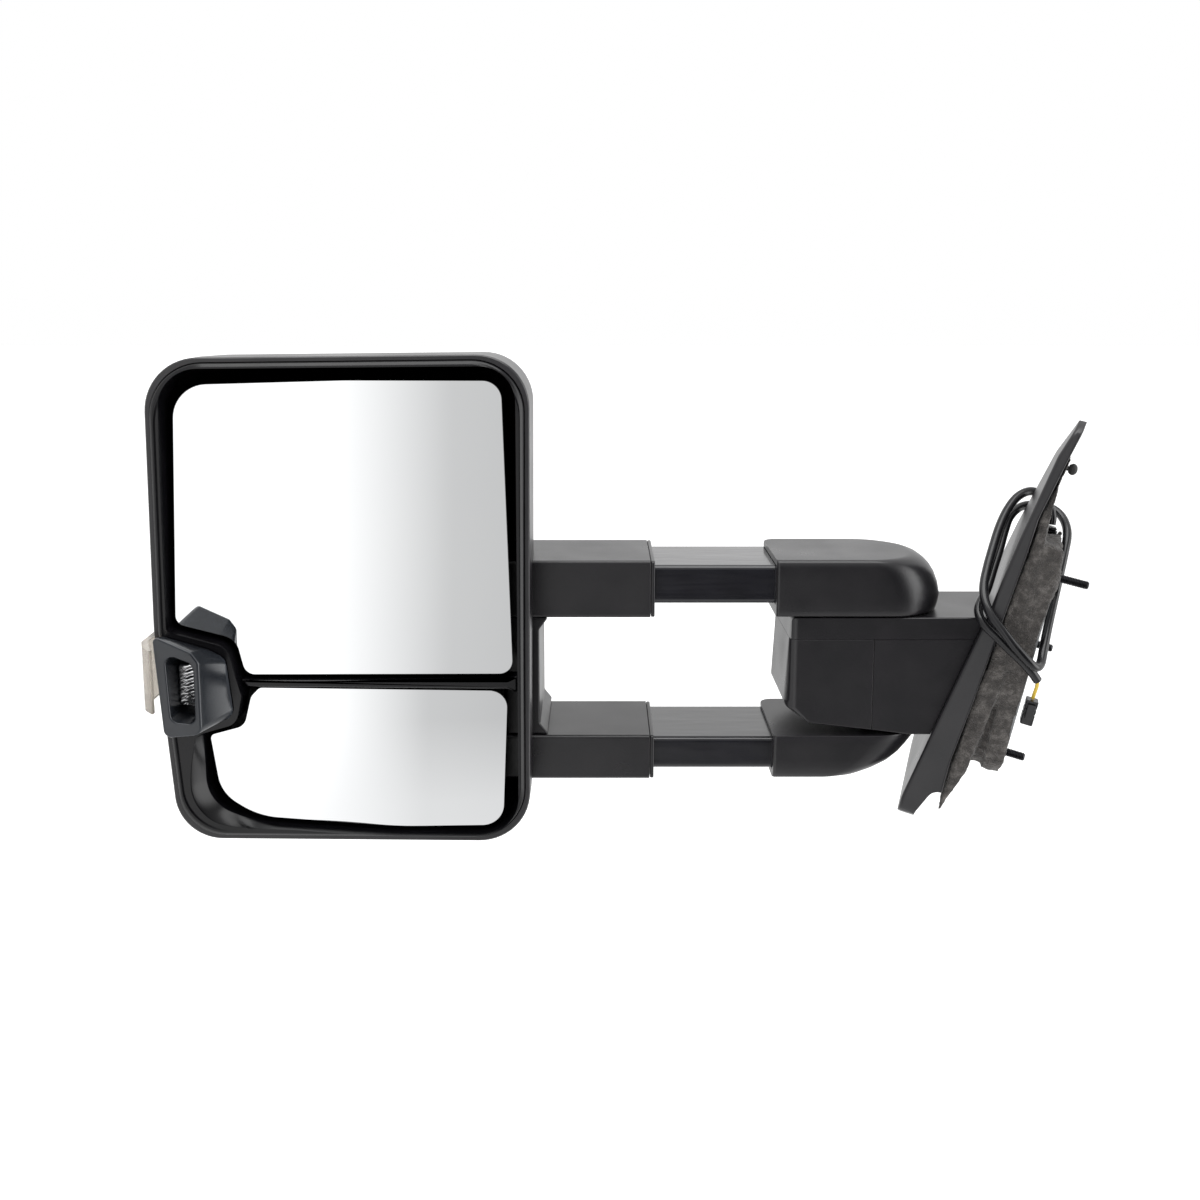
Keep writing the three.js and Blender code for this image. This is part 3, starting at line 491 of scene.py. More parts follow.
def cast_aluminium():
    return metal("cast_aluminium", (0.38, 0.39, 0.4), (0.5, 0.51, 0.52), (0.45, 0.62), 500)


def black_steel():
    return metal("black_steel", (0.03, 0.03, 0.032), (0.055, 0.055, 0.06), (0.35, 0.5), 600)


def bright_steel():
    return metal("bright_steel", (0.5, 0.51, 0.53), (0.62, 0.63, 0.65), (0.22, 0.36), 700, (1, 1, 0.1))


def chrome():
    return metal("chrome", (0.8, 0.8, 0.81), (0.88, 0.88, 0.89), (0.05, 0.12), 400)


def mirror():
    n = Paint("mirror")
    n.colour(n.noise(6, 2), (0.88, 0.89, 0.9), (0.9, 0.91, 0.915))
    n.rough(n.noise(18, 2), 0.012, 0.03)
    n.link(Normal=n.bump(n.noise(3, 1), 0.02, 0.0001))
    n.set(Metallic=1.0, Coat_Weight=0.3, Coat_Roughness=0.02)
    return n.material


def clear_lens():
    n = Paint("clear_lens")
    n.colour(n.noise(50, 3), (0.62, 0.57, 0.5), (0.74, 0.69, 0.62))
    n.rough(n.noise(120, 3), 0.08, 0.16)
    n.link(Normal=n.bump(n.noise(40, 2), 0.1, 0.0001))
    n.set(Transmission_Weight=0.8, IOR=1.3)
    return n.material


MAKERS = {maker.__name__: maker for maker in (
    grained_black, bezel_black, inner_black, tube_black, pod_grey, foam_grey, cable_black, lead_yellow,
    nylon, board_green, heater_brown, cast_aluminium, black_steel, bright_steel, chrome, mirror, clear_lens,
)}


def material(slot):
    if slot not in MATERIALS:
        MATERIALS[slot] = MAKERS[slot]()
    return MATERIALS[slot]


def paint_cad_nodes():
    for part in frame["record"]["subparts"]:
        node = frame["nodes"][part["node"]]
        node.data.materials.clear()
        node.data.materials.append(material(part["material_slot"]))


# ---- camera

def add_camera():
    looking_down = 8.46
    data = bpy.data.cameras.new("camera")
    camera = linked("camera", data)
    bpy.context.scene.camera = camera
    camera.location = (-0.309, -0.84, 0.207)
    camera.rotation_euler = (math.radians(90 - looking_down), 0, 0)
    data.sensor_width = 36
    data.lens = 37.2
    data.shift_y = -0.1
    data.dof.use_dof = False


# ---- wiring

# The harness leaves its grommet at the top of the pad and goes twice round the plate,
# in the plate's frame: n towards the door, y forward, u up.
HARNESS_DIAMETER = 6 * MM
LEAD_DIAMETER = 2.4 * MM
HARNESS_ROUTE = [
    (-8, 14, 48), (-9, 15, 54), (-13, 17, 61), (-20, 18, 66.5), (-28, 15, 67), (-35, 8, 62),
    (-39.5, -2, 53), (-42, -14, 42), (-43, -27, 30), (-43.5, -40, 18), (-43, -51, 8),
    (-40, -60, 0), (-34, -66, -7), (-25, -69, -14), (-15, -70, -22), (-5, -69, -29),
    (1, -65, -32.5), (4, -57.5, -31.5), (4.2, -48, -24), (4, -36, -11), (4, -25, 3), (4, -14, 18),
    (4, -3, 32), (3.5, 10, 45), (-1, 21.5, 53), (-9, 28, 57), (-20, 28, 57), (-30, 22, 54),
    (-36, 11, 47), (-37.5, -1, 38), (-38, -14, 27), (-39, -27, 16), (-40, -41, 4),
    (-42.5, -53.5, -7), (-38, -61.5, -14), (-28, -63, -20), (-18, -63.5, -26), (-8, -62.5, -32),
    (0, -60, -38), (5, -57, -43),
]
LEAD_ROUTE = [
    (5.2, -56.8, -43.6), (6, -55, -48), (6, -53, -53), (6, -52, -57.5),
]


def smooth_route(route, steps=6):
    """Catmull-Rom curve through the route's points, in the part's frame and in metres."""
    points = [from_plate(*p) * MM for p in route]
    ends = [points[0] * 2 - points[1], *points, points[-1] * 2 - points[-2]]
    curve = []
    for index in range(1, len(ends) - 2):
        a, b, c, d = ends[index - 1:index + 3]
        square = 2 * a - 5 * b + 4 * c - d
        cube = 3 * b - a - 3 * c + d
        for step in range(steps):
            t = step / steps
            curve.append(0.5 * (2 * b + (c - a) * t + square * t * t + cube * t ** 3))
    return [*curve, points[-1]]


def add_cord(name, route, diameter, slot, node, sides=20):
    """A closed tube along the route that stands for the CAD cord."""
    points = smooth_route(route)
    verts = []
    side = Vector((0, 0, 1))
    for index, point in enumerate(points):
        along = points[min(index + 1, len(points) - 1)] - points[max(index - 1, 0)]
        along.normalize()
        side = (side - along * side.dot(along)).normalized()
        other = along.cross(side)
        for k in range(sides):
            angle = math.tau * k / sides
            verts.append(point + (side * math.cos(angle) + other * math.sin(angle)) * diameter / 2)
    faces = tube_faces(len(points), sides)
    faces.append(tuple(range(sides))[::-1])
    last = (len(points) - 1) * sides
    faces.append(tuple(range(last, last + sides)))
    mesh = bpy.data.meshes.new(name)
    mesh.from_pydata(verts, [], faces)
    return make_piece(name, mesh, "base", slot, node), points


def add_connector():
    """Small plug with two grooves and a latch, hanging from its lead."""
    n, y, u = 6, -52, -58
    outline = rectangle(n - 4, y - 5, n + 4, y + 5, 1.2)
    levels = soft_edges(outline, u - 17, u, 0.8)
    for groove in (4.5, 8.5):
        levels += [
            (outline, u - groove - 1.6),
            (inset(outline, 0.6), u - groove - 1.3),
            (inset(outline, 0.6), u - groove - 0.5),
            (outline, u - groove - 0.2),
        ]
    levels.sort(key=lambda level: level[1])
    make_piece("plug_body", onto_plate(skin(levels, along_z)), "base", "cable_black", "harness_connector")
    latch = soft_edges(rectangle(n - 2.5, y - 8, n + 2.5, y - 5.3, 0.6), u - 12, u - 2, 0.5)
    make_piece("plug_latch", onto_plate(skin(latch, along_z)), "base", "cable_black", "connector_latch")


def add_wiring():
    harness, centre = add_cord(
        "harness_sheath", HARNESS_ROUTE, HARNESS_DIAMETER, "cable_black", "wiring_harness")
    add_cord("lead_wire", LEAD_ROUTE, LEAD_DIAMETER, "lead_yellow", "signal_lead", 12)
    add_connector()
    add_grommet()


# ---- mirror head

def head_outline(shift, soften=0, steps=14):
    return rounded([
        (HEAD_LEFT + shift, -5, 200),
        (HEAD_LEFT + 10 + shift, HEAD_BOTTOM + 2 + shift, 30 + soften),
        (HEAD_RIGHT - 2 - shift, HEAD_BOTTOM + shift, 33 + soften),
        (HEAD_RIGHT - shift, HEAD_TOP - shift, 32 + soften),
        (HEAD_LEFT + 2 + shift, HEAD_TOP - 2.5 - shift, 34 + soften),
    ], steps)


# Outlines seen by the driver, each corner (x, z, radius).
OPENING = [
    (-578.5, 162.5, 24), (-361, 164.5, 22), (-361.5, -138.0, 26), (-441, -137.6, 300),
    (-531, -131.5, 100), (-562.5, -118, 26), (-563.5, -69.5, 3), (-540, -62.8, 10),
    (-536, -44, 3), (-538.5, -34.5, 3), (-544, -12, 12), (-581.5, -1.8, 3),
]
UPPER_GLASS = [
    (-573, 152.5, 22), (-466, 155.5, 200), (-369.8, 155.2, 12), (-364.2, -32.2, 9),
    (-535.5, -32.6, 8), (-541, -9, 12), (-578.8, 0.8, 7),
]
LOWER_GLASS = [
    (-527, -41.4, 4), (-368.2, -43.6, 11), (-372, -133.8, 14), (-441, -134.4, 300),
    (-531, -127.5, 100), (-554.5, -112, 25), (-559.8, -73, 3), (-537.5, -66.8, 9),
    (-532.5, -47, 8),
]


def cut_out(piece, low, high):
    """Cuts a box-shaped doorway through a piece, in millimetres."""
    mesh = boolean(piece, block(low, high), "DIFFERENCE")
    piece.modifiers.clear()
    piece.data = mesh


def add_shell():
    """The domed back of the head, with a doorway for both sleeves."""
    rim_y = LIP_Y + 4
    dome = [
        (LIP_Y + 26, 0), (-20, 0.9), (0, 1.8), (14, 3.8), (28, 7), (38, 11.4), (46, 17), (52, 24),
        (57, 32), (60, 42), (62, 52),
    ]
    outer = [(head_outline(0.7), rim_y), (head_outline(0), rim_y + 0.8)]
    outer += [(head_outline(shift, shift * 0.4), y) for y, shift in dome]
    inner = [(head_outline(WALL), rim_y)]
    inner += [(head_outline(shift + WALL, shift * 0.4), y - WALL) for y, shift in dome]
    shell = join_shell(skin(outer, along_y), skin(inner, along_y))
    piece = make_piece("shell_moulding", shell, "head", "grained_black", "rear_shell")
    doorway_low = (-414, -40.6, -117.1)
    doorway_high = (HEAD_RIGHT + 5, 40.6, 34.6)
    cut_out(piece, doorway_low, doorway_high)


def join_shell(outside, inside):
    """One closed wall: outside skin, inside skin turned over, joined at the open rim."""
    edit = bmesh.new()
    edit.from_mesh(outside)
    rim_out = cap_removed(edit)
    count = len(edit.verts)
    edit.from_mesh(inside)
    edit.verts.ensure_lookup_table()
    lining = set(edit.verts[count:])
    bmesh.ops.reverse_faces(edit, faces=[face for face in edit.faces if face.verts[0] in lining])
    rim_in = cap_removed(edit, count)
    bmesh.ops.bridge_loops(edit, edges=rim_out + rim_in)
    mesh = bpy.data.meshes.new("shell")
    edit.to_mesh(mesh)
    edit.free()
    return mesh


def cap_removed(edit, start=0):
    """Deletes the cap nearest the driver and returns its rim edges."""
    edit.verts.ensure_lookup_table()
    mine = set(edit.verts[start:])
    caps = [face for face in edit.faces if len(face.verts) > 8 and face.verts[0] in mine]
    front = min(caps, key=lambda face: face.calc_center_median().y)
    edges = list(front.edges)
    bmesh.ops.delete(edit, geom=[front], context="FACES_ONLY")
    return edges


def room_outside(outline, surround):
    """How far each point of an outline is from the outline that surrounds it."""
    return [min((point - other).length for other in surround) for point in outline]


def eased(amounts, passes=30):
    """A closed run of numbers with its sudden changes smoothed out."""
    for _ in range(passes):
        amounts = [
            (amounts[i - 1] + 2 * amounts[i] + amounts[(i + 1) % len(amounts)]) / 4
            for i in range(len(amounts))
        ]
    return amounts


def divided(outline, longest=4):
    """The outline with its long sides cut into short ones."""
    points = []
    for a, b in zip(outline, outline[1:] + outline[:1]):
        pieces = max(1, math.ceil((b - a).length / longest))
        points.extend(a.lerp(b, k / pieces) for k in range(pieces))
    return points


def add_bezel():
    """A rolled lip with a fine ridge, then a wall that slopes in to the glass."""
    edge = WALL + 0.3
    depth = 20
    lip = [
        (4.6, 0.9), (3.9, 0.25), (3.1, 0), (2.4, 0.3), (1.8, 0.9), (1.2, 1.3),
        (0.6, 1.9), (0.15, 3), (0, 5), (0, depth),
    ]
    body = skin([(head_outline(edge + shift), LIP_Y + y) for shift, y in lip], along_y)
    lip_width = 5.8
    widest = 9
    pod_right, pod_bottom, pod_top = -530, -78, 8
    hole = divided(rounded(OPENING))
    room = room_outside(hole, divided(head_outline(edge), 1))
    beside_pod = [point.x < pod_right and pod_bottom < point.y < pod_top for point in hole]
    flare = eased([
        0.3 if pod else min(widest, max(0.2, gap - lip_width)) for gap, pod in zip(room, beside_pod)
    ])
    wall = [
        (1, -4), (1, 0.9), (0.92, 1.3), (0.78, 2.3), (0.55, 4), (0.3, 6.4), (0.1, 8.4),
        (0, 9.4), (0, depth + 4),
    ]
    cutter = [(inset(hole, [-amount * share for amount in flare]), LIP_Y + y) for share, y in wall]
    shape = combined(body, skin(cutter, along_y))
    piece = make_piece("bezel_frame", shape, "head", "bezel_black", "bezel", 50)
    bevel(piece, 0.4, 50, 2)


def add_divider():
    outline = rounded([
        (-537.5, -34.6, 0.5), (-533.4, -39.4, 1.5), (-368, -40.9, 4), (-361.7, -43.5, 0.5),
        (-361.7, -32.2, 0.5), (-368, -35.2, 4), (-531, -35.2, 4),
    ], 5)
    levels = soft_edges(outline, LIP_Y + 5.5, LIP_Y + 18, 1.3)
    make_piece("divider_moulding", skin(levels, along_y), "head", "bezel_black", "divider_bar")


def add_flat_glass():
    outline = rounded(UPPER_GLASS)
    levels = soft_edges(outline, GLASS_Y, GLASS_BACK_Y, 0.5)
    make_piece("flat_glass", skin(levels, along_y), "upper_glass", "mirror", "upper_mirror_glass")


def add_convex_glass():
    """The wide-angle glass bulges towards the driver by about a millimetre."""
    low, high = box_mm("lower_mirror_glass")
    centre = Vector(((low.x + high.x) / 2, (low.z + high.z) / 2))
    outline = rounded(LOWER_GLASS)
    radius = 5000
    bulge = 1.1
    rings = 10
    rim_y = GLASS_Y + 0.8
    verts = []
    for ring in range(rings + 1):
        share = max(0.02, 1 - ring / rings)
        for point in outline:
            spot = centre + (point - centre) * share
            depth = bulge - (spot - centre).length_squared / (2 * radius)
            verts.append(Vector((spot.x, rim_y - depth, spot.y)))
    count = len(outline)
    faces = tube_faces(rings + 1, count)
    faces.append(tuple(range(rings * count, rings * count + count)))
    back = len(verts)
    verts.extend(Vector((p.x, GLASS_BACK_Y - 0.1, p.y)) for p in outline)
    for side in range(count):
        faces.append((side, (side + 1) % count, back + (side + 1) % count, back + side))
    faces.append(tuple(range(back, back + count)))
    mesh = bpy.data.meshes.new("convex")
    mesh.from_pydata([v * MM for v in verts], [], faces)
    piece = make_piece("convex_glass", mesh, "lower_glass", "mirror", "lower_mirror_glass")
    piece.modifiers.clear()
    pole = Vector((centre.x, GLASS_Y + radius, centre.y)) * MM
    face_limit = (GLASS_BACK_Y - 0.5) * MM
    piece.data.normals_split_custom_set_from_vertices([
        (vertex.co - pole).normalized() if vertex.co.y < face_limit else vertex.normal
        for vertex in piece.data.vertices
    ])


# ---- light pod

def add_pod():
    """The pod narrows towards the driver and has a deep window for the reflector."""
    back = [(-588, -3.5, 5), (-556, -13, 8), (-545, -19, 8), (-541, -58, 8), (-583, -68, 8)]
    front = [(-579.5, 4.5, 3), (-556, -6.5, 3), (-551.5, -13, 5), (-551.6, -58.5, 6), (-575, -60.5, 5)]
    window = [(-572, -7.5, 4), (-557.5, -13, 3), (-555.5, -17, 3), (-555.5, -51.5, 4), (-570, -50, 5)]
    low, high = box_mm("light_pod_housing")
    pod_front = low.y
    side_start = pod_front + 0.9
    near = rounded(front)
    far = rounded(back)
    outside = [
        (inset(near, 1.5), pod_front),
        (inset(near, 0.9), pod_front + 0.15),
        (inset(near, 0.4), pod_front + 0.45),
        (inset(near, 0.1), side_start),
    ]
    steps = 10
    for step in range(1, steps + 1):
        share = step / steps
        ease = share ** 1.25
        outline = [a.lerp(b, ease) for a, b in zip(near, far)]
        outside.append((outline, side_start + (high.y - side_start) * share))
    hole = rounded(window)
    floor = LIP_Y - 7
    inside = [
        (inset(hole, -1.1), pod_front),
        (inset(hole, -0.6), pod_front + 0.15),
        (inset(hole, -0.2), pod_front + 0.5),
        (hole, pod_front + 1.2),
        (inset(hole, 0.6), floor),
    ]
    make_piece("pod_moulding", blind_hole(outside, inside), "head", "pod_grey", "light_pod_housing", 40)


def blind_hole(outside, inside):
    """A capped body with a recess from its first level."""
    mesh = skin(outside, along_y)
    edit = bmesh.new()
    edit.from_mesh(mesh)
    cap_removed(edit)
    edit.verts.ensure_lookup_table()
    rim = list(edit.verts[:len(outside[0][0])])
    stacks = []
    for outline, height in inside:
        stacks.append([edit.verts.new(along_y(p.x, p.y, height) * MM) for p in outline])
    for upper, lower in zip(stacks, stacks[1:]):
        for k in range(len(upper)):
            j = (k + 1) % len(upper)
            edit.faces.new((upper[k], lower[k], lower[j], upper[j]))
    edit.faces.new(stacks[-1])
    loops = [[Vector((v.co.x, v.co.z, 0)) for v in loop] for loop in (rim, stacks[0])]
    ids = rim + stacks[0]
    for tri in tessellate_polygon(loops):
        edit.faces.new([ids[i] for i in tri])
    edit.to_mesh(mesh)
    edit.free()
    return mesh


def add_reflector():
    """A bright bowl crossed by slanted half-round ribs."""
    low, high = box_mm("light_reflector")
    rows = 112
    columns = 12
    ribs = 6
    slant = 0.16
    overhang = 1.6
    behind = 1.6
    rib_height = 1.9
    bowl_height = 1.6
    verts = []
    for row in range(rows + 1):
        for column in range(columns + 1):
            across = column / columns
            up = row / rows
            rib = rib_height * abs(math.sin(math.pi * ribs * (up - slant * across)))
            bowl = bowl_height * (2 * across - 1) ** 4
            y = high.y - behind - rib - bowl
            x = low.x - overhang + (high.x - low.x + 2 * overhang) * across
            verts.append(Vector((x, y, low.z + (high.z - low.z) * up)))
    faces = [
        (a, a + 1, a + columns + 2, a + columns + 1)
        for row in range(rows) for a in range(row * (columns + 1), row * (columns + 1) + columns)
    ]
    mesh = bpy.data.meshes.new("reflector")
    mesh.from_pydata([v * MM for v in verts], [], faces)
    edit = bmesh.new()
    edit.from_mesh(mesh)
    bmesh.ops.solidify(edit, geom=edit.faces, thickness=-0.0004)
    edit.to_mesh(mesh)
    edit.free()
    make_piece("reflector_bowl", mesh, "head", "chrome", "light_reflector", 60)


def add_led_board():
    """The strip of board that carries the LED, behind the ribs."""
    low, high = box_mm("reading_led_board")
    outline = rectangle(low.x + 0.6, low.z + 3, high.x - 0.6, high.z - 3, 0.4)
    levels = soft_edges(outline, high.y + 1.0, high.y + 1.8, 0.2)
    make_piece("led_strip", skin(levels, along_y), "head", "board_green", "reading_led_board")


def add_lens():
    """A thin lens that wraps round the pod's outboard side."""
    outline = rounded([
        (-582.6, -111, 1), (-590, -103, 8), (-596, -88, 10), (-596.5, -60, 1.5),
        (-592, -60, 0.5), (-592, -86.5, 2), (-587, -99, 4), (-582.8, -106.5, 0.5),
    ], 6)
    low, high = box_mm("side_marker_lens")
    levels = soft_edges(outline, low.z, high.z, 0.4)
    make_piece("lens_moulding", skin(levels, along_z), "head", "clear_lens", "side_marker_lens")


# ---- telescoping arms

def section(low, high, shift, radius, back_radius):
    """An arm's section, (y, z), rounder at the front of the vehicle than at the driver."""
    return rounded([
        (low.y + shift, low.z + shift, radius),
        (high.y - shift, low.z + shift, back_radius),
        (high.y - shift, high.z - shift, back_radius),
        (low.y + shift, high.z - shift, radius),
    ], 10)


def add_sleeve(prefix):
    """A sleeve that slides on its tube together with the head."""
    low, high = box_mm(f"{prefix}_sleeve")
    outside = soft_edges(section(low, high, 0, 2.2, 9), low.x, high.x, 0.5)
    bore = section(low, high, 3, 2, 6)
    shape = skin(outside, along_x, [(bore, low.x), (bore, high.x)])
    make_piece(f"{prefix}_sleeve_moulding", shape, "head", "grained_black", f"{prefix}_sleeve", 40)


def add_collar(prefix):
    """The end collar of a sleeve, whose bore clears the tube and is flared at both ends."""
    clearance = 0.5
    low, high = box_mm(f"{prefix}_sleeve_collar")
    tube_low, tube_high = box_mm(f"{prefix}_tube")
    outside = soft_edges(section(low, high, 0, 2.2, 9), low.x, high.x, 0.8)
    bore = section(tube_low, tube_high, -clearance, 3.5, 3.5)
    flared = inset(bore, -0.5)
    inside = [(flared, low.x), (bore, low.x + 0.5), (bore, high.x - 0.5), (flared, high.x)]
    shape = skin(outside, along_x, inside)
    make_piece(f"{prefix}_collar_moulding", shape, "head", "grained_black", f"{prefix}_sleeve_collar", 40)


def add_tube(prefix):
    low, high = box_mm(f"{prefix}_tube")
    outside = soft_edges(section(low, high, 0, 3.6, 4), low.x, high.x, 0.4)
    bore = section(low, high, 2.5, 1.5, 1.5)
    shape = skin(outside, along_x, [(bore, low.x), (bore, high.x)])
    make_piece(f"{prefix}_tube_extrusion", shape, "arms", "tube_black", f"{prefix}_tube", 40)


def add_bracket():
    """The upright bracket that joins the sleeves beside the head."""
    low, high = box_mm("sleeve_bracket")
    outline = rounded([
        (low.x, high.z, 0.5), (high.x, high.z, 1), (-349.5, -13, 3), (-349.5, -78, 3),
        (high.x, low.z, 1), (low.x, low.z, 0.5),
    ], 6)
    levels = soft_edges(outline, low.y, high.y, 1.2)
    make_piece("bracket_moulding", skin(levels, along_y), "head", "grained_black", "sleeve_bracket")


def cover_plan(end_x, half, left_x):
    """A cover seen from above: half is half its width, and its door end is round."""
    return rounded([
        (left_x, -half, 2), (end_x, -half, half - 0.5), (end_x, half, half - 0.5), (left_x, half, 9),
    ], 20)


def add_arm_cover(prefix, stack):
    """A cover that is square towards the head and round towards the door."""
    left = box_mm(f"{prefix}_arm_cover")[0].x
    shape = skin([(cover_plan(end_x, half, left), z) for z, end_x, half in stack], along_z)
    node = f"{prefix}_arm_cover"
    piece = make_piece(f"{prefix}_cover_moulding", shape, "arms", "grained_black", node, 62)
    clearance = 0.5
    socket_depth = 42
    tube_low, tube_high = box_mm(f"{prefix}_tube")
    cut_out(
        piece,
        (left - 5, tube_low.y - clearance, tube_low.z - clearance),
        (left + socket_depth, tube_high.y + clearance, tube_high.z + clearance))
    finish_cut(piece)


def finish_cut(piece):
    """Rounds the cut edges a little and steadies the shading again."""
    for polygon in piece.data.polygons:
        polygon.use_smooth = True
    bevel(piece, 0.5, 50, 2)
    normals = piece.modifiers.new("normals", "WEIGHTED_NORMAL")
    normals.keep_sharp = True


def add_arm_covers():
    """Both covers, as levels (height, end towards the door, half width)."""
    upper = [
        (-4, -79, 38.6), (-3.2, -78, 39.4), (0, -77, 39.8), (6, -76, 40), (14, -77.6, 40), (21, -80.4, 40),
        (26, -83.6, 40), (29.5, -87, 39.6), (32, -90.6, 38.9), (33.4, -94, 37.6), (34, -97.5, 36),
    ]
    lower = [
        (-117, -138, 35), (-116.4, -131, 36.6), (-115, -121, 38.2), (-112, -112, 39.4), (-108, -104.5, 40),
        (-103, -98.6, 40), (-98, -94.4, 40), (-92, -90, 40), (-87.2, -87.4, 39.9), (-86.5, -87.8, 39.4),
    ]
    add_arm_cover("upper", upper)
    add_arm_cover("lower", lower)


# ---- door base, in the plate's frame
# Plate, pad and collar are corners (y, u, radius); side profiles are (n, u) from the bottom up.
# Studs are (y, u, how far the tip stands out).

PLATE = [(-44, 120, 3), (-31, 128, 3), (78, -40, 40), (82, -157, 14), (-72, -157, 8)]
COVER_OUTER = [(-59, -170), (-58.5, -144), (-47, -76), (-36, -12), (-29.5, 42), (-20, 102), (-10, 135)]
COVER_BACK = [(-34, -170), (-34, -112), (-30, -70), (-22, 36), (-21, 60), (-13, 102), (-6, 135)]
FOAM_BACK = [
    (-33.5, -170), (-33.5, -149.5), (-26, -131), (-21.5, -117), (-19.5, -95), (-15.5, -60),
    (-13, 0), (-12.5, 60), (-13, 84), (-10.5, 104), (-10.5, 135),
]
PAD = [(-45, -113, 12), (49, -113, 12), (49, -6, 12), (22, 33, 12), (-45, 33, 12)]
COLLAR = [(-56, -119, 18), (60, -119, 18), (60, 45, 18), (-56, 45, 18)]
STUD_RADIUS = 3
STUD_ROOT = -14
STUDS = {"upper": (-28, 21, 22), "lower": (-36, -104, 13), "front": (38, -44, 18)}
EXIT_N = -8
EXIT_Y = 14
EXIT_U = 47


def plate_outline(shift):
    """Outline of the plate, (y, u), with its edges moved in by shift."""
    (ax, au, ar), (bx, bu, br), (cx, cu, cr), (dx, du, dr), (ex, eu, er) = PLATE
    return rounded([
        (ax + shift, au - 2 * shift, ar), (bx - 0.5 * shift, bu - 2 * shift, br), (cx - shift, cu, cr),
        (dx - shift, du + shift, dr), (ex + shift, eu + shift, er),
    ], 10)


def span_at(outline, height):
    """Lowest and highest y of an outline, (y, u), at one height u."""
    hits = []
    for a, b in zip(outline, outline[1:] + outline[:1]):
        if (a.y - height) * (b.y - height) <= 0 and abs(a.y - b.y) > 1e-6:
            hits.append(a.x + (b.x - a.x) * (height - a.y) / (b.y - a.y))
    return min(hits), max(hits)


def edge_at(edge, height):
    """n of a side profile, (n, u) from the bottom up, at one height u."""
    for (n1, u1), (n2, u2) in zip(edge, edge[1:]):
        if u1 <= height <= u2:
            return n1 + (n2 - n1) * (height - u1) / (u2 - u1)
    return edge[-1][0]


def plate_slab(outline, outer, back, shifts=(0, 0), radius=2.4, start=-200, end=200):
    """A slab inside the outline, between two side profiles, with rounded long edges."""
    margin = 0.15
    roundest = 0.42
    low = max(min(p.y for p in outline) + margin, start)
    high = min(max(p.y for p in outline) - margin, end)
    steps = 72
    levels = []
    for step in range(steps + 1):
        share = step / steps
        crowding = 0.26 * math.sin(math.tau * share) / math.tau
        height = low + (high - low) * (share - crowding)
        near, far = span_at(outline, height)
        front = edge_at(outer, height) + shifts[0]
        rear = edge_at(back, height) + shifts[1]
        edge = min(radius, roundest * (rear - front), roundest * (far - near))
        levels.append((rounded([
            (front, near, edge), (rear, near, edge * 0.5), (rear, far, edge * 0.5), (front, far, edge),
        ], 5), height))
    return skin(levels, along_z)


def combined(mesh, other, operation="DIFFERENCE"):
    """A mesh joined with, cut by or kept inside another."""
    for part in (mesh, other):
        edit = bmesh.new()
        edit.from_mesh(part)
        bmesh.ops.recalc_face_normals(edit, faces=edit.faces)
        edit.to_mesh(part)
        edit.free()
    piece = linked("work", mesh)
    result = boolean(piece, other, operation)
    bpy.data.objects.remove(piece)
    return result


def prism(outline, low, high, place=along_z):
    return skin([(outline, low), (outline, high)], place)


def block(low, high):
    """A box between two corners, in millimetres."""
    return prism(rectangle(low[0], low[1], high[0], high[1], 0), low[2], high[2])


def onto_plate(mesh):
    """Turns a mesh from the plate's frame into the part's."""
    for vertex in mesh.vertices:
        vertex.co = PLATE_TURN @ vertex.co
    return mesh


def add_base_cover():
    """A hollow cover with a doorway for the fold block and a notch at its foot."""
    wall = 3
    shape = plate_slab(plate_outline(0), COVER_OUTER, COVER_BACK)
    hollow = plate_slab(plate_outline(wall), COVER_OUTER, COVER_BACK, (wall, 5), 0.5, end=62)
    shape = combined(shape, hollow)
    shape = combined(shape, block((-80, -40, -80), (0, 16, -35)))
    notch = rounded([
        (-20, -132, 0), (-20, -180, 0), (-47.5, -180, 0), (-47.5, -152, 12), (-40, -134, 8),
    ], 6)
    shape = combined(shape, prism(notch, -120, 120, lambda n, u, y: Vector((n, y, u))))
    piece = make_piece("cover_moulding", onto_plate(shape), "base", "grained_black", "base_cover", 32)
    bevel(piece, 0.6, 40, 2)


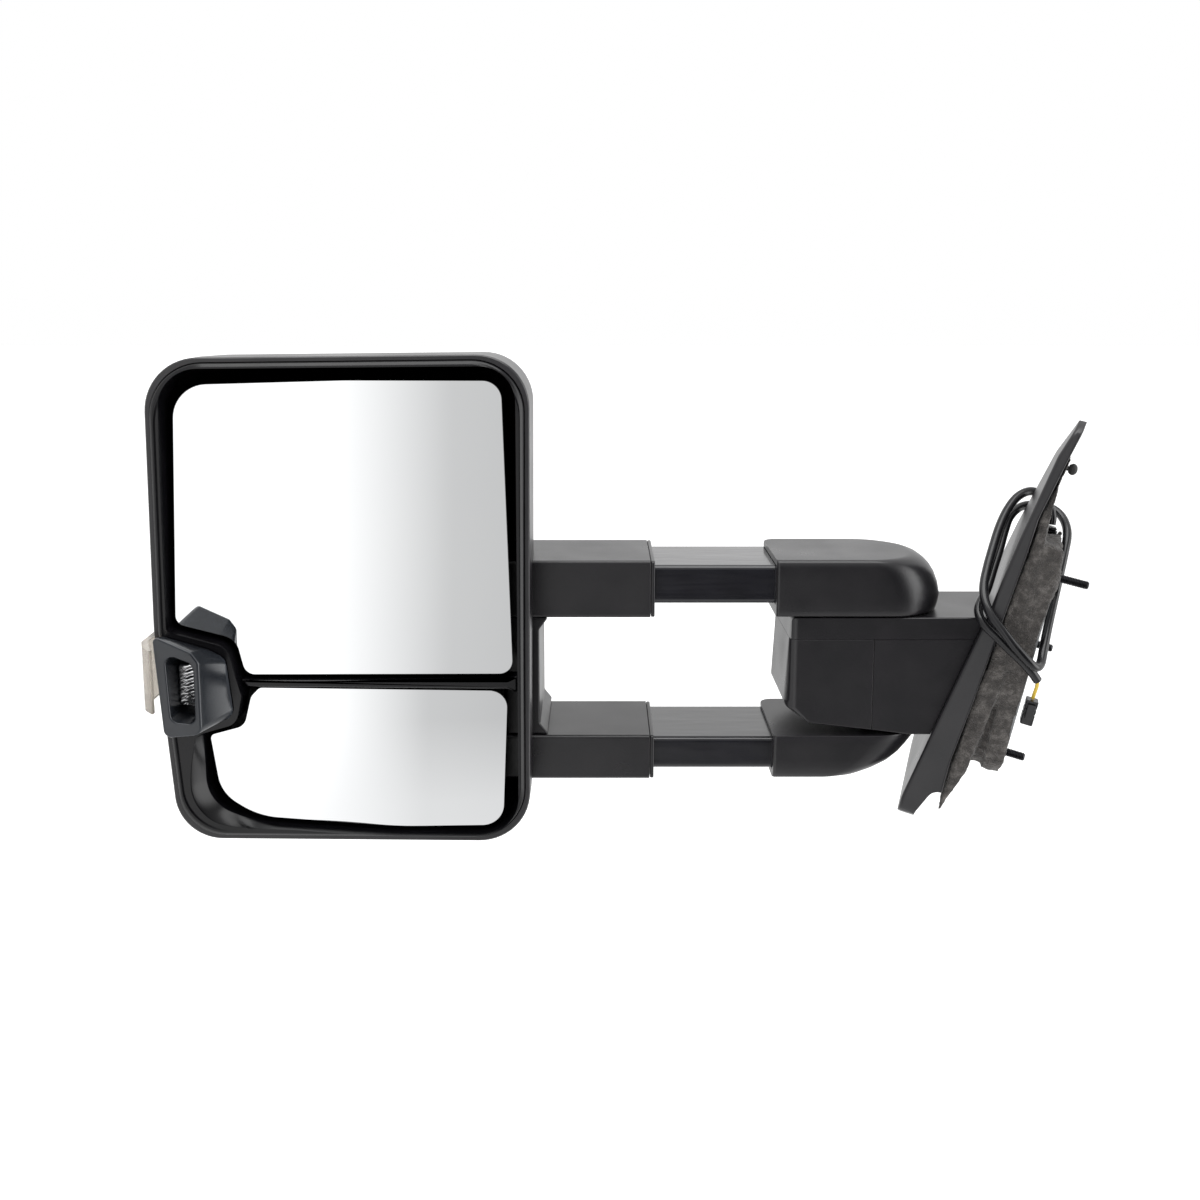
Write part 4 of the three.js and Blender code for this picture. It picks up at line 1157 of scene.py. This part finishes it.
def add_gasket():
    """Closed-cell foam, squeezed unevenly, so its outline wavers and its face is lumpy."""
    flange = plate_slab(plate_outline(3.5), COVER_BACK, FOAM_BACK, (0.3, 0), 1.6, start=-147, end=103)
    inner = plate_outline(4)
    collar = prism(rounded(COLLAR, 8), -14, -0.6, along_x)
    waist = plate_slab(inset(rounded(COLLAR, 8), 3), COVER_BACK, FOAM_BACK, (0.3, 8), 0.8)
    shape = flange
    for layer in (collar, waist):
        kept = combined(layer, prism(inner, -80, 20, along_x), "INTERSECT")
        shape = combined(shape, kept, "UNION")
    shape = combined(shape, prism(inset(rounded(PAD, 6), -0.6), -60, 20, along_x))
    shape = combined(shape, prism(circle(EXIT_N, EXIT_Y, 7.4), 18, 60))
    work = linked("foam", onto_plate(shape))
    voxels = work.modifiers.new("voxels", "REMESH")
    voxels.mode = "VOXEL"
    voxels.voxel_size = 1.1 * MM
    soften = work.modifiers.new("soften", "SMOOTH")
    soften.factor = 0.6
    soften.iterations = 7
    mesh = current_mesh(work)
    bpy.data.objects.remove(work)
    boss = from_plate(-3, -54, 22) * MM
    boss_size = 0.013
    fold_scale = Vector((95, 95, 34))
    lump_scale = 210
    fleece_scale = 600
    moves = []
    for vertex in mesh.vertices:
        fold = noise.noise(PLATE_TURN.transposed() @ vertex.co * fold_scale)
        lump = noise.noise(vertex.co * lump_scale)
        fleece = noise.noise(vertex.co * fleece_scale)
        swell = math.exp(-((vertex.co - boss).length / boss_size) ** 2)
        push = -0.0009 + 0.0018 * fold + 0.0006 * lump + 0.00025 * fleece + 0.0038 * swell
        moves.append(vertex.normal * push)
    for vertex, move in zip(mesh.vertices, moves):
        vertex.co += move
    gasket = make_piece("foam_gasket", mesh, "base", "foam_grey", "door_gasket", 180)


def quarter_round(depth, radius):
    """How far a rounded edge stands back, at a depth under the face that it starts from."""
    if depth > radius:
        return 0
    return radius - math.sqrt(max(0, radius ** 2 - (radius - depth) ** 2))


def fold_block_body(shift):
    """The block as a stack of side views, whose left end is rounded in plan."""
    low, high = box_mm("fold_block_outboard")
    half = high.y - shift
    side = inset(rounded([
        (-181, -5, 3), (-185, -66, 6), (-168, -78, 8), (-100, -86, 20), (40, -86, 0), (40, -5, 0),
    ], 8), shift)
    edge_radius = 1.2
    end_radius = 8
    levels = []
    steps = 44
    for step in range(steps + 1):
        share = step / steps
        y = -half * math.cos(math.pi * share)
        depth = half - abs(y)
        limit = low.x + shift + quarter_round(depth, end_radius)
        outline = [Vector((max(p.x, limit), p.y)) for p in inset(side, quarter_round(depth, edge_radius))]
        levels.append((outline, y))
    return skin(levels, along_y)


def add_fold_block():
    """The hollow block on the pivot, cut into the three panels whose seams show."""
    seam = -20
    gap = 0.15
    wall = 3.5
    shaft_bore = 20
    cutter = onto_plate(plate_slab(plate_outline(-0.3), COVER_OUTER, COVER_BACK, (-0.3, 10)))
    arm_side = onto_plate(block((-400, -300, -300), (-30, 300, 300)))
    shape = combined(fold_block_body(0), arm_side, "INTERSECT")
    shape = combined(shape, cutter)
    shape = combined(shape, fold_block_body(wall))
    shape = combined(shape, prism(circle(PIVOT_X, 0, shaft_bore), -120, 10))
    slices = {
        "cap": ((-300, -60, seam + gap), (100, 60, 20)),
        "outboard": ((-300, -60, -120), (PIVOT_X - gap, 60, seam - gap)),
        "inboard": ((PIVOT_X + gap, -60, -120), (100, 60, seam - gap)),
    }
    for name, (low, high) in slices.items():
        panel = combined(shape.copy(), block(low, high), "INTERSECT")
        piece = make_piece(f"block_{name}", panel, "base", "grained_black", f"fold_block_{name}", 30)
        bevel(piece, 0.45, 40, 2)


def threaded(radius, low, high, pitch=1.0, sides=28):
    """A threaded rod along x, whose end is chamfered."""
    rings_per_turn = 6
    thread_depth = 0.62
    chamfer_length = 1.3
    rings = int((high - low) / pitch * rings_per_turn)
    levels = []
    for ring in range(rings + 1):
        x = low + (high - low) * ring / rings
        chamfer = max(0, chamfer_length - (high - x)) * 0.8
        outline = []
        for k in range(sides):
            phase = (x / pitch - k / sides) % 1
            crest = radius - thread_depth * abs(2 * phase - 1) - 0.02
            size = min(crest, radius - chamfer)
            angle = math.tau * k / sides
            outline.append(Vector((size * math.cos(angle), size * math.sin(angle))))
        levels.append((outline, x))
    return skin(levels, along_x)


def turned(profile, place, sides=36):
    """A round piece from its profile of (radius, height); place makes each point."""
    return skin([(circle(0, 0, radius, sides), height) for radius, height in profile], place)


def add_studs():
    for name, (y, u, tip) in STUDS.items():
        mesh = threaded(STUD_RADIUS, STUD_ROOT, tip)
        for vertex in mesh.vertices:
            vertex.co = PLATE_TURN @ (vertex.co + Vector((0, y, u)) * MM)
        make_piece(f"stud_thread_{name}", mesh, "base", "black_steel", f"mount_stud_{name}", 60)


def add_peg():
    """A clip with a swollen head, on a stem that goes into the cover's back."""
    n, y, u = -11, -36, 95
    profile = [
        (1.2, -4.6), (1.6, -4.4), (1.6, 0), (2.6, 0.1), (2.8, 0.5), (3.6, 1.6), (3.8, 2.2), (3.8, 3.2),
        (3.4, 4), (2.4, 5), (1.4, 5.4), (0.5, 5.5),
    ]
    mesh = turned(profile, lambda a, b, h: from_plate(h + n, a + y, b + u))
    make_piece("peg_clip", mesh, "base", "inner_black", "locator_peg")


def add_grommet():
    """Sleeve with three rings, tapering to the harness as a strain relief."""
    profile = [(4.9, 20.2), (4.9, 33.6), (6.6, 34.2), (7, 34.8), (7, 40.6), (6.4, 41.2)]
    for ring in range(3):
        foot = 41.6 + ring * 1.7
        size = 6 - ring * 0.7
        profile += [(size - 0.7, foot), (size, foot + 0.4), (size, foot + 1.0), (size - 0.9, foot + 1.4)]
    profile += [(3.9, 46.6), (3.5, EXIT_U)]
    mesh = turned(profile, lambda a, b, h: from_plate(a + EXIT_N, b + EXIT_Y, h))
    make_piece("strain_relief", mesh, "base", "cable_black", "harness_grommet")


# ---- studio

def add_floor():
    """A white floor well under the object, hidden from mirror reflections."""
    mesh = bpy.data.meshes.new("floor")
    size = 14.0
    height = CAD_BOX[0].z - 0.25
    mesh.from_pydata(
        [(-size, -size, height), (size, -size, height), (size, size, height), (-size, size, height)],
        [], [(0, 1, 2, 3)])
    floor = linked("floor", mesh)
    n = Paint("floor")
    n.colour(n.noise(2, 2), (0.9, 0.9, 0.9), (0.92, 0.92, 0.92))
    n.set(Roughness=0.6, Emission_Color=(1, 1, 1, 1), Emission_Strength=0.4)
    mesh.materials.append(n.material)
    floor.visible_glossy = False


def add_top_light():
    data = bpy.data.lights.new("top", "AREA")
    data.shape = "RECTANGLE"
    data.size = 1.6
    data.size_y = 0.9
    data.energy = 14
    light = linked("top", data)
    light.location = (-0.3, -0.3, 1.5)
    aim = Vector((-0.3, 0, 0)) - light.location
    light.rotation_euler = aim.to_track_quat("-Z", "Y").to_euler()


def greys(*stops):
    """Ramp stops in grey, each from (position, level)."""
    return [(position, (level, level, level)) for position, level in stops]


def add_studio():
    """White behind the object, dark behind the camera, and bright cards at both sides.
    The mirror glass looks towards the left card; the camera itself sees plain white."""
    world = bpy.data.worlds.new("studio")
    bpy.context.scene.world = world
    world.use_nodes = True
    n = Tree(world.node_tree)
    background = n.tree.nodes["Background"]
    direction = n.add("TexCoord").outputs["Generated"]
    parts = n.add("SeparateXYZ", Vector=direction)
    x, y, z = [n.spread(parts.outputs[axis], 0, 1, -1, 1) for axis in "XYZ"]
    sideways = n.ramp(x, greys(
        (0.0, 0.8), (0.25, 0.6), (0.32, 1.3), (0.385, 1.3), (0.44, 0.66),
        (0.49, 0.58), (0.507, 0.02), (0.85, 0.03), (0.93, 3.5), (1.0, 3.5)))
    height = n.ramp(z, greys((0.0, 0.9), (0.3, 0.5), (0.34, 0.0), (0.6, 0.0), (0.75, 0.35), (1.0, 0.9)))
    behind = n.ramp(y, greys((0.47, 0.0), (0.56, 1.0)))
    white = (1, 1, 1, 1)
    room = n.mix(behind, n.mix(height, sideways, white), white)
    seen = n.add("LightPath").outputs["Is Camera Ray"]
    n.tree.links.new(n.mix(seen, room, white), background.inputs["Color"])
    background.inputs["Strength"].default_value = 1.0
    add_top_light()
    bpy.context.scene.view_settings.view_transform = "Standard"


# ---- run

paint_cad_nodes()
add_camera()
add_wiring()
add_shell()
add_bezel()
add_divider()
add_flat_glass()
add_convex_glass()
add_pod()
add_reflector()
add_led_board()
add_lens()
for prefix in ("upper", "lower"):
    add_sleeve(prefix)
    add_collar(prefix)
    add_tube(prefix)
add_bracket()
add_arm_covers()
add_base_cover()
add_gasket()
add_fold_block()
add_studs()
add_peg()
add_floor()
add_studio()
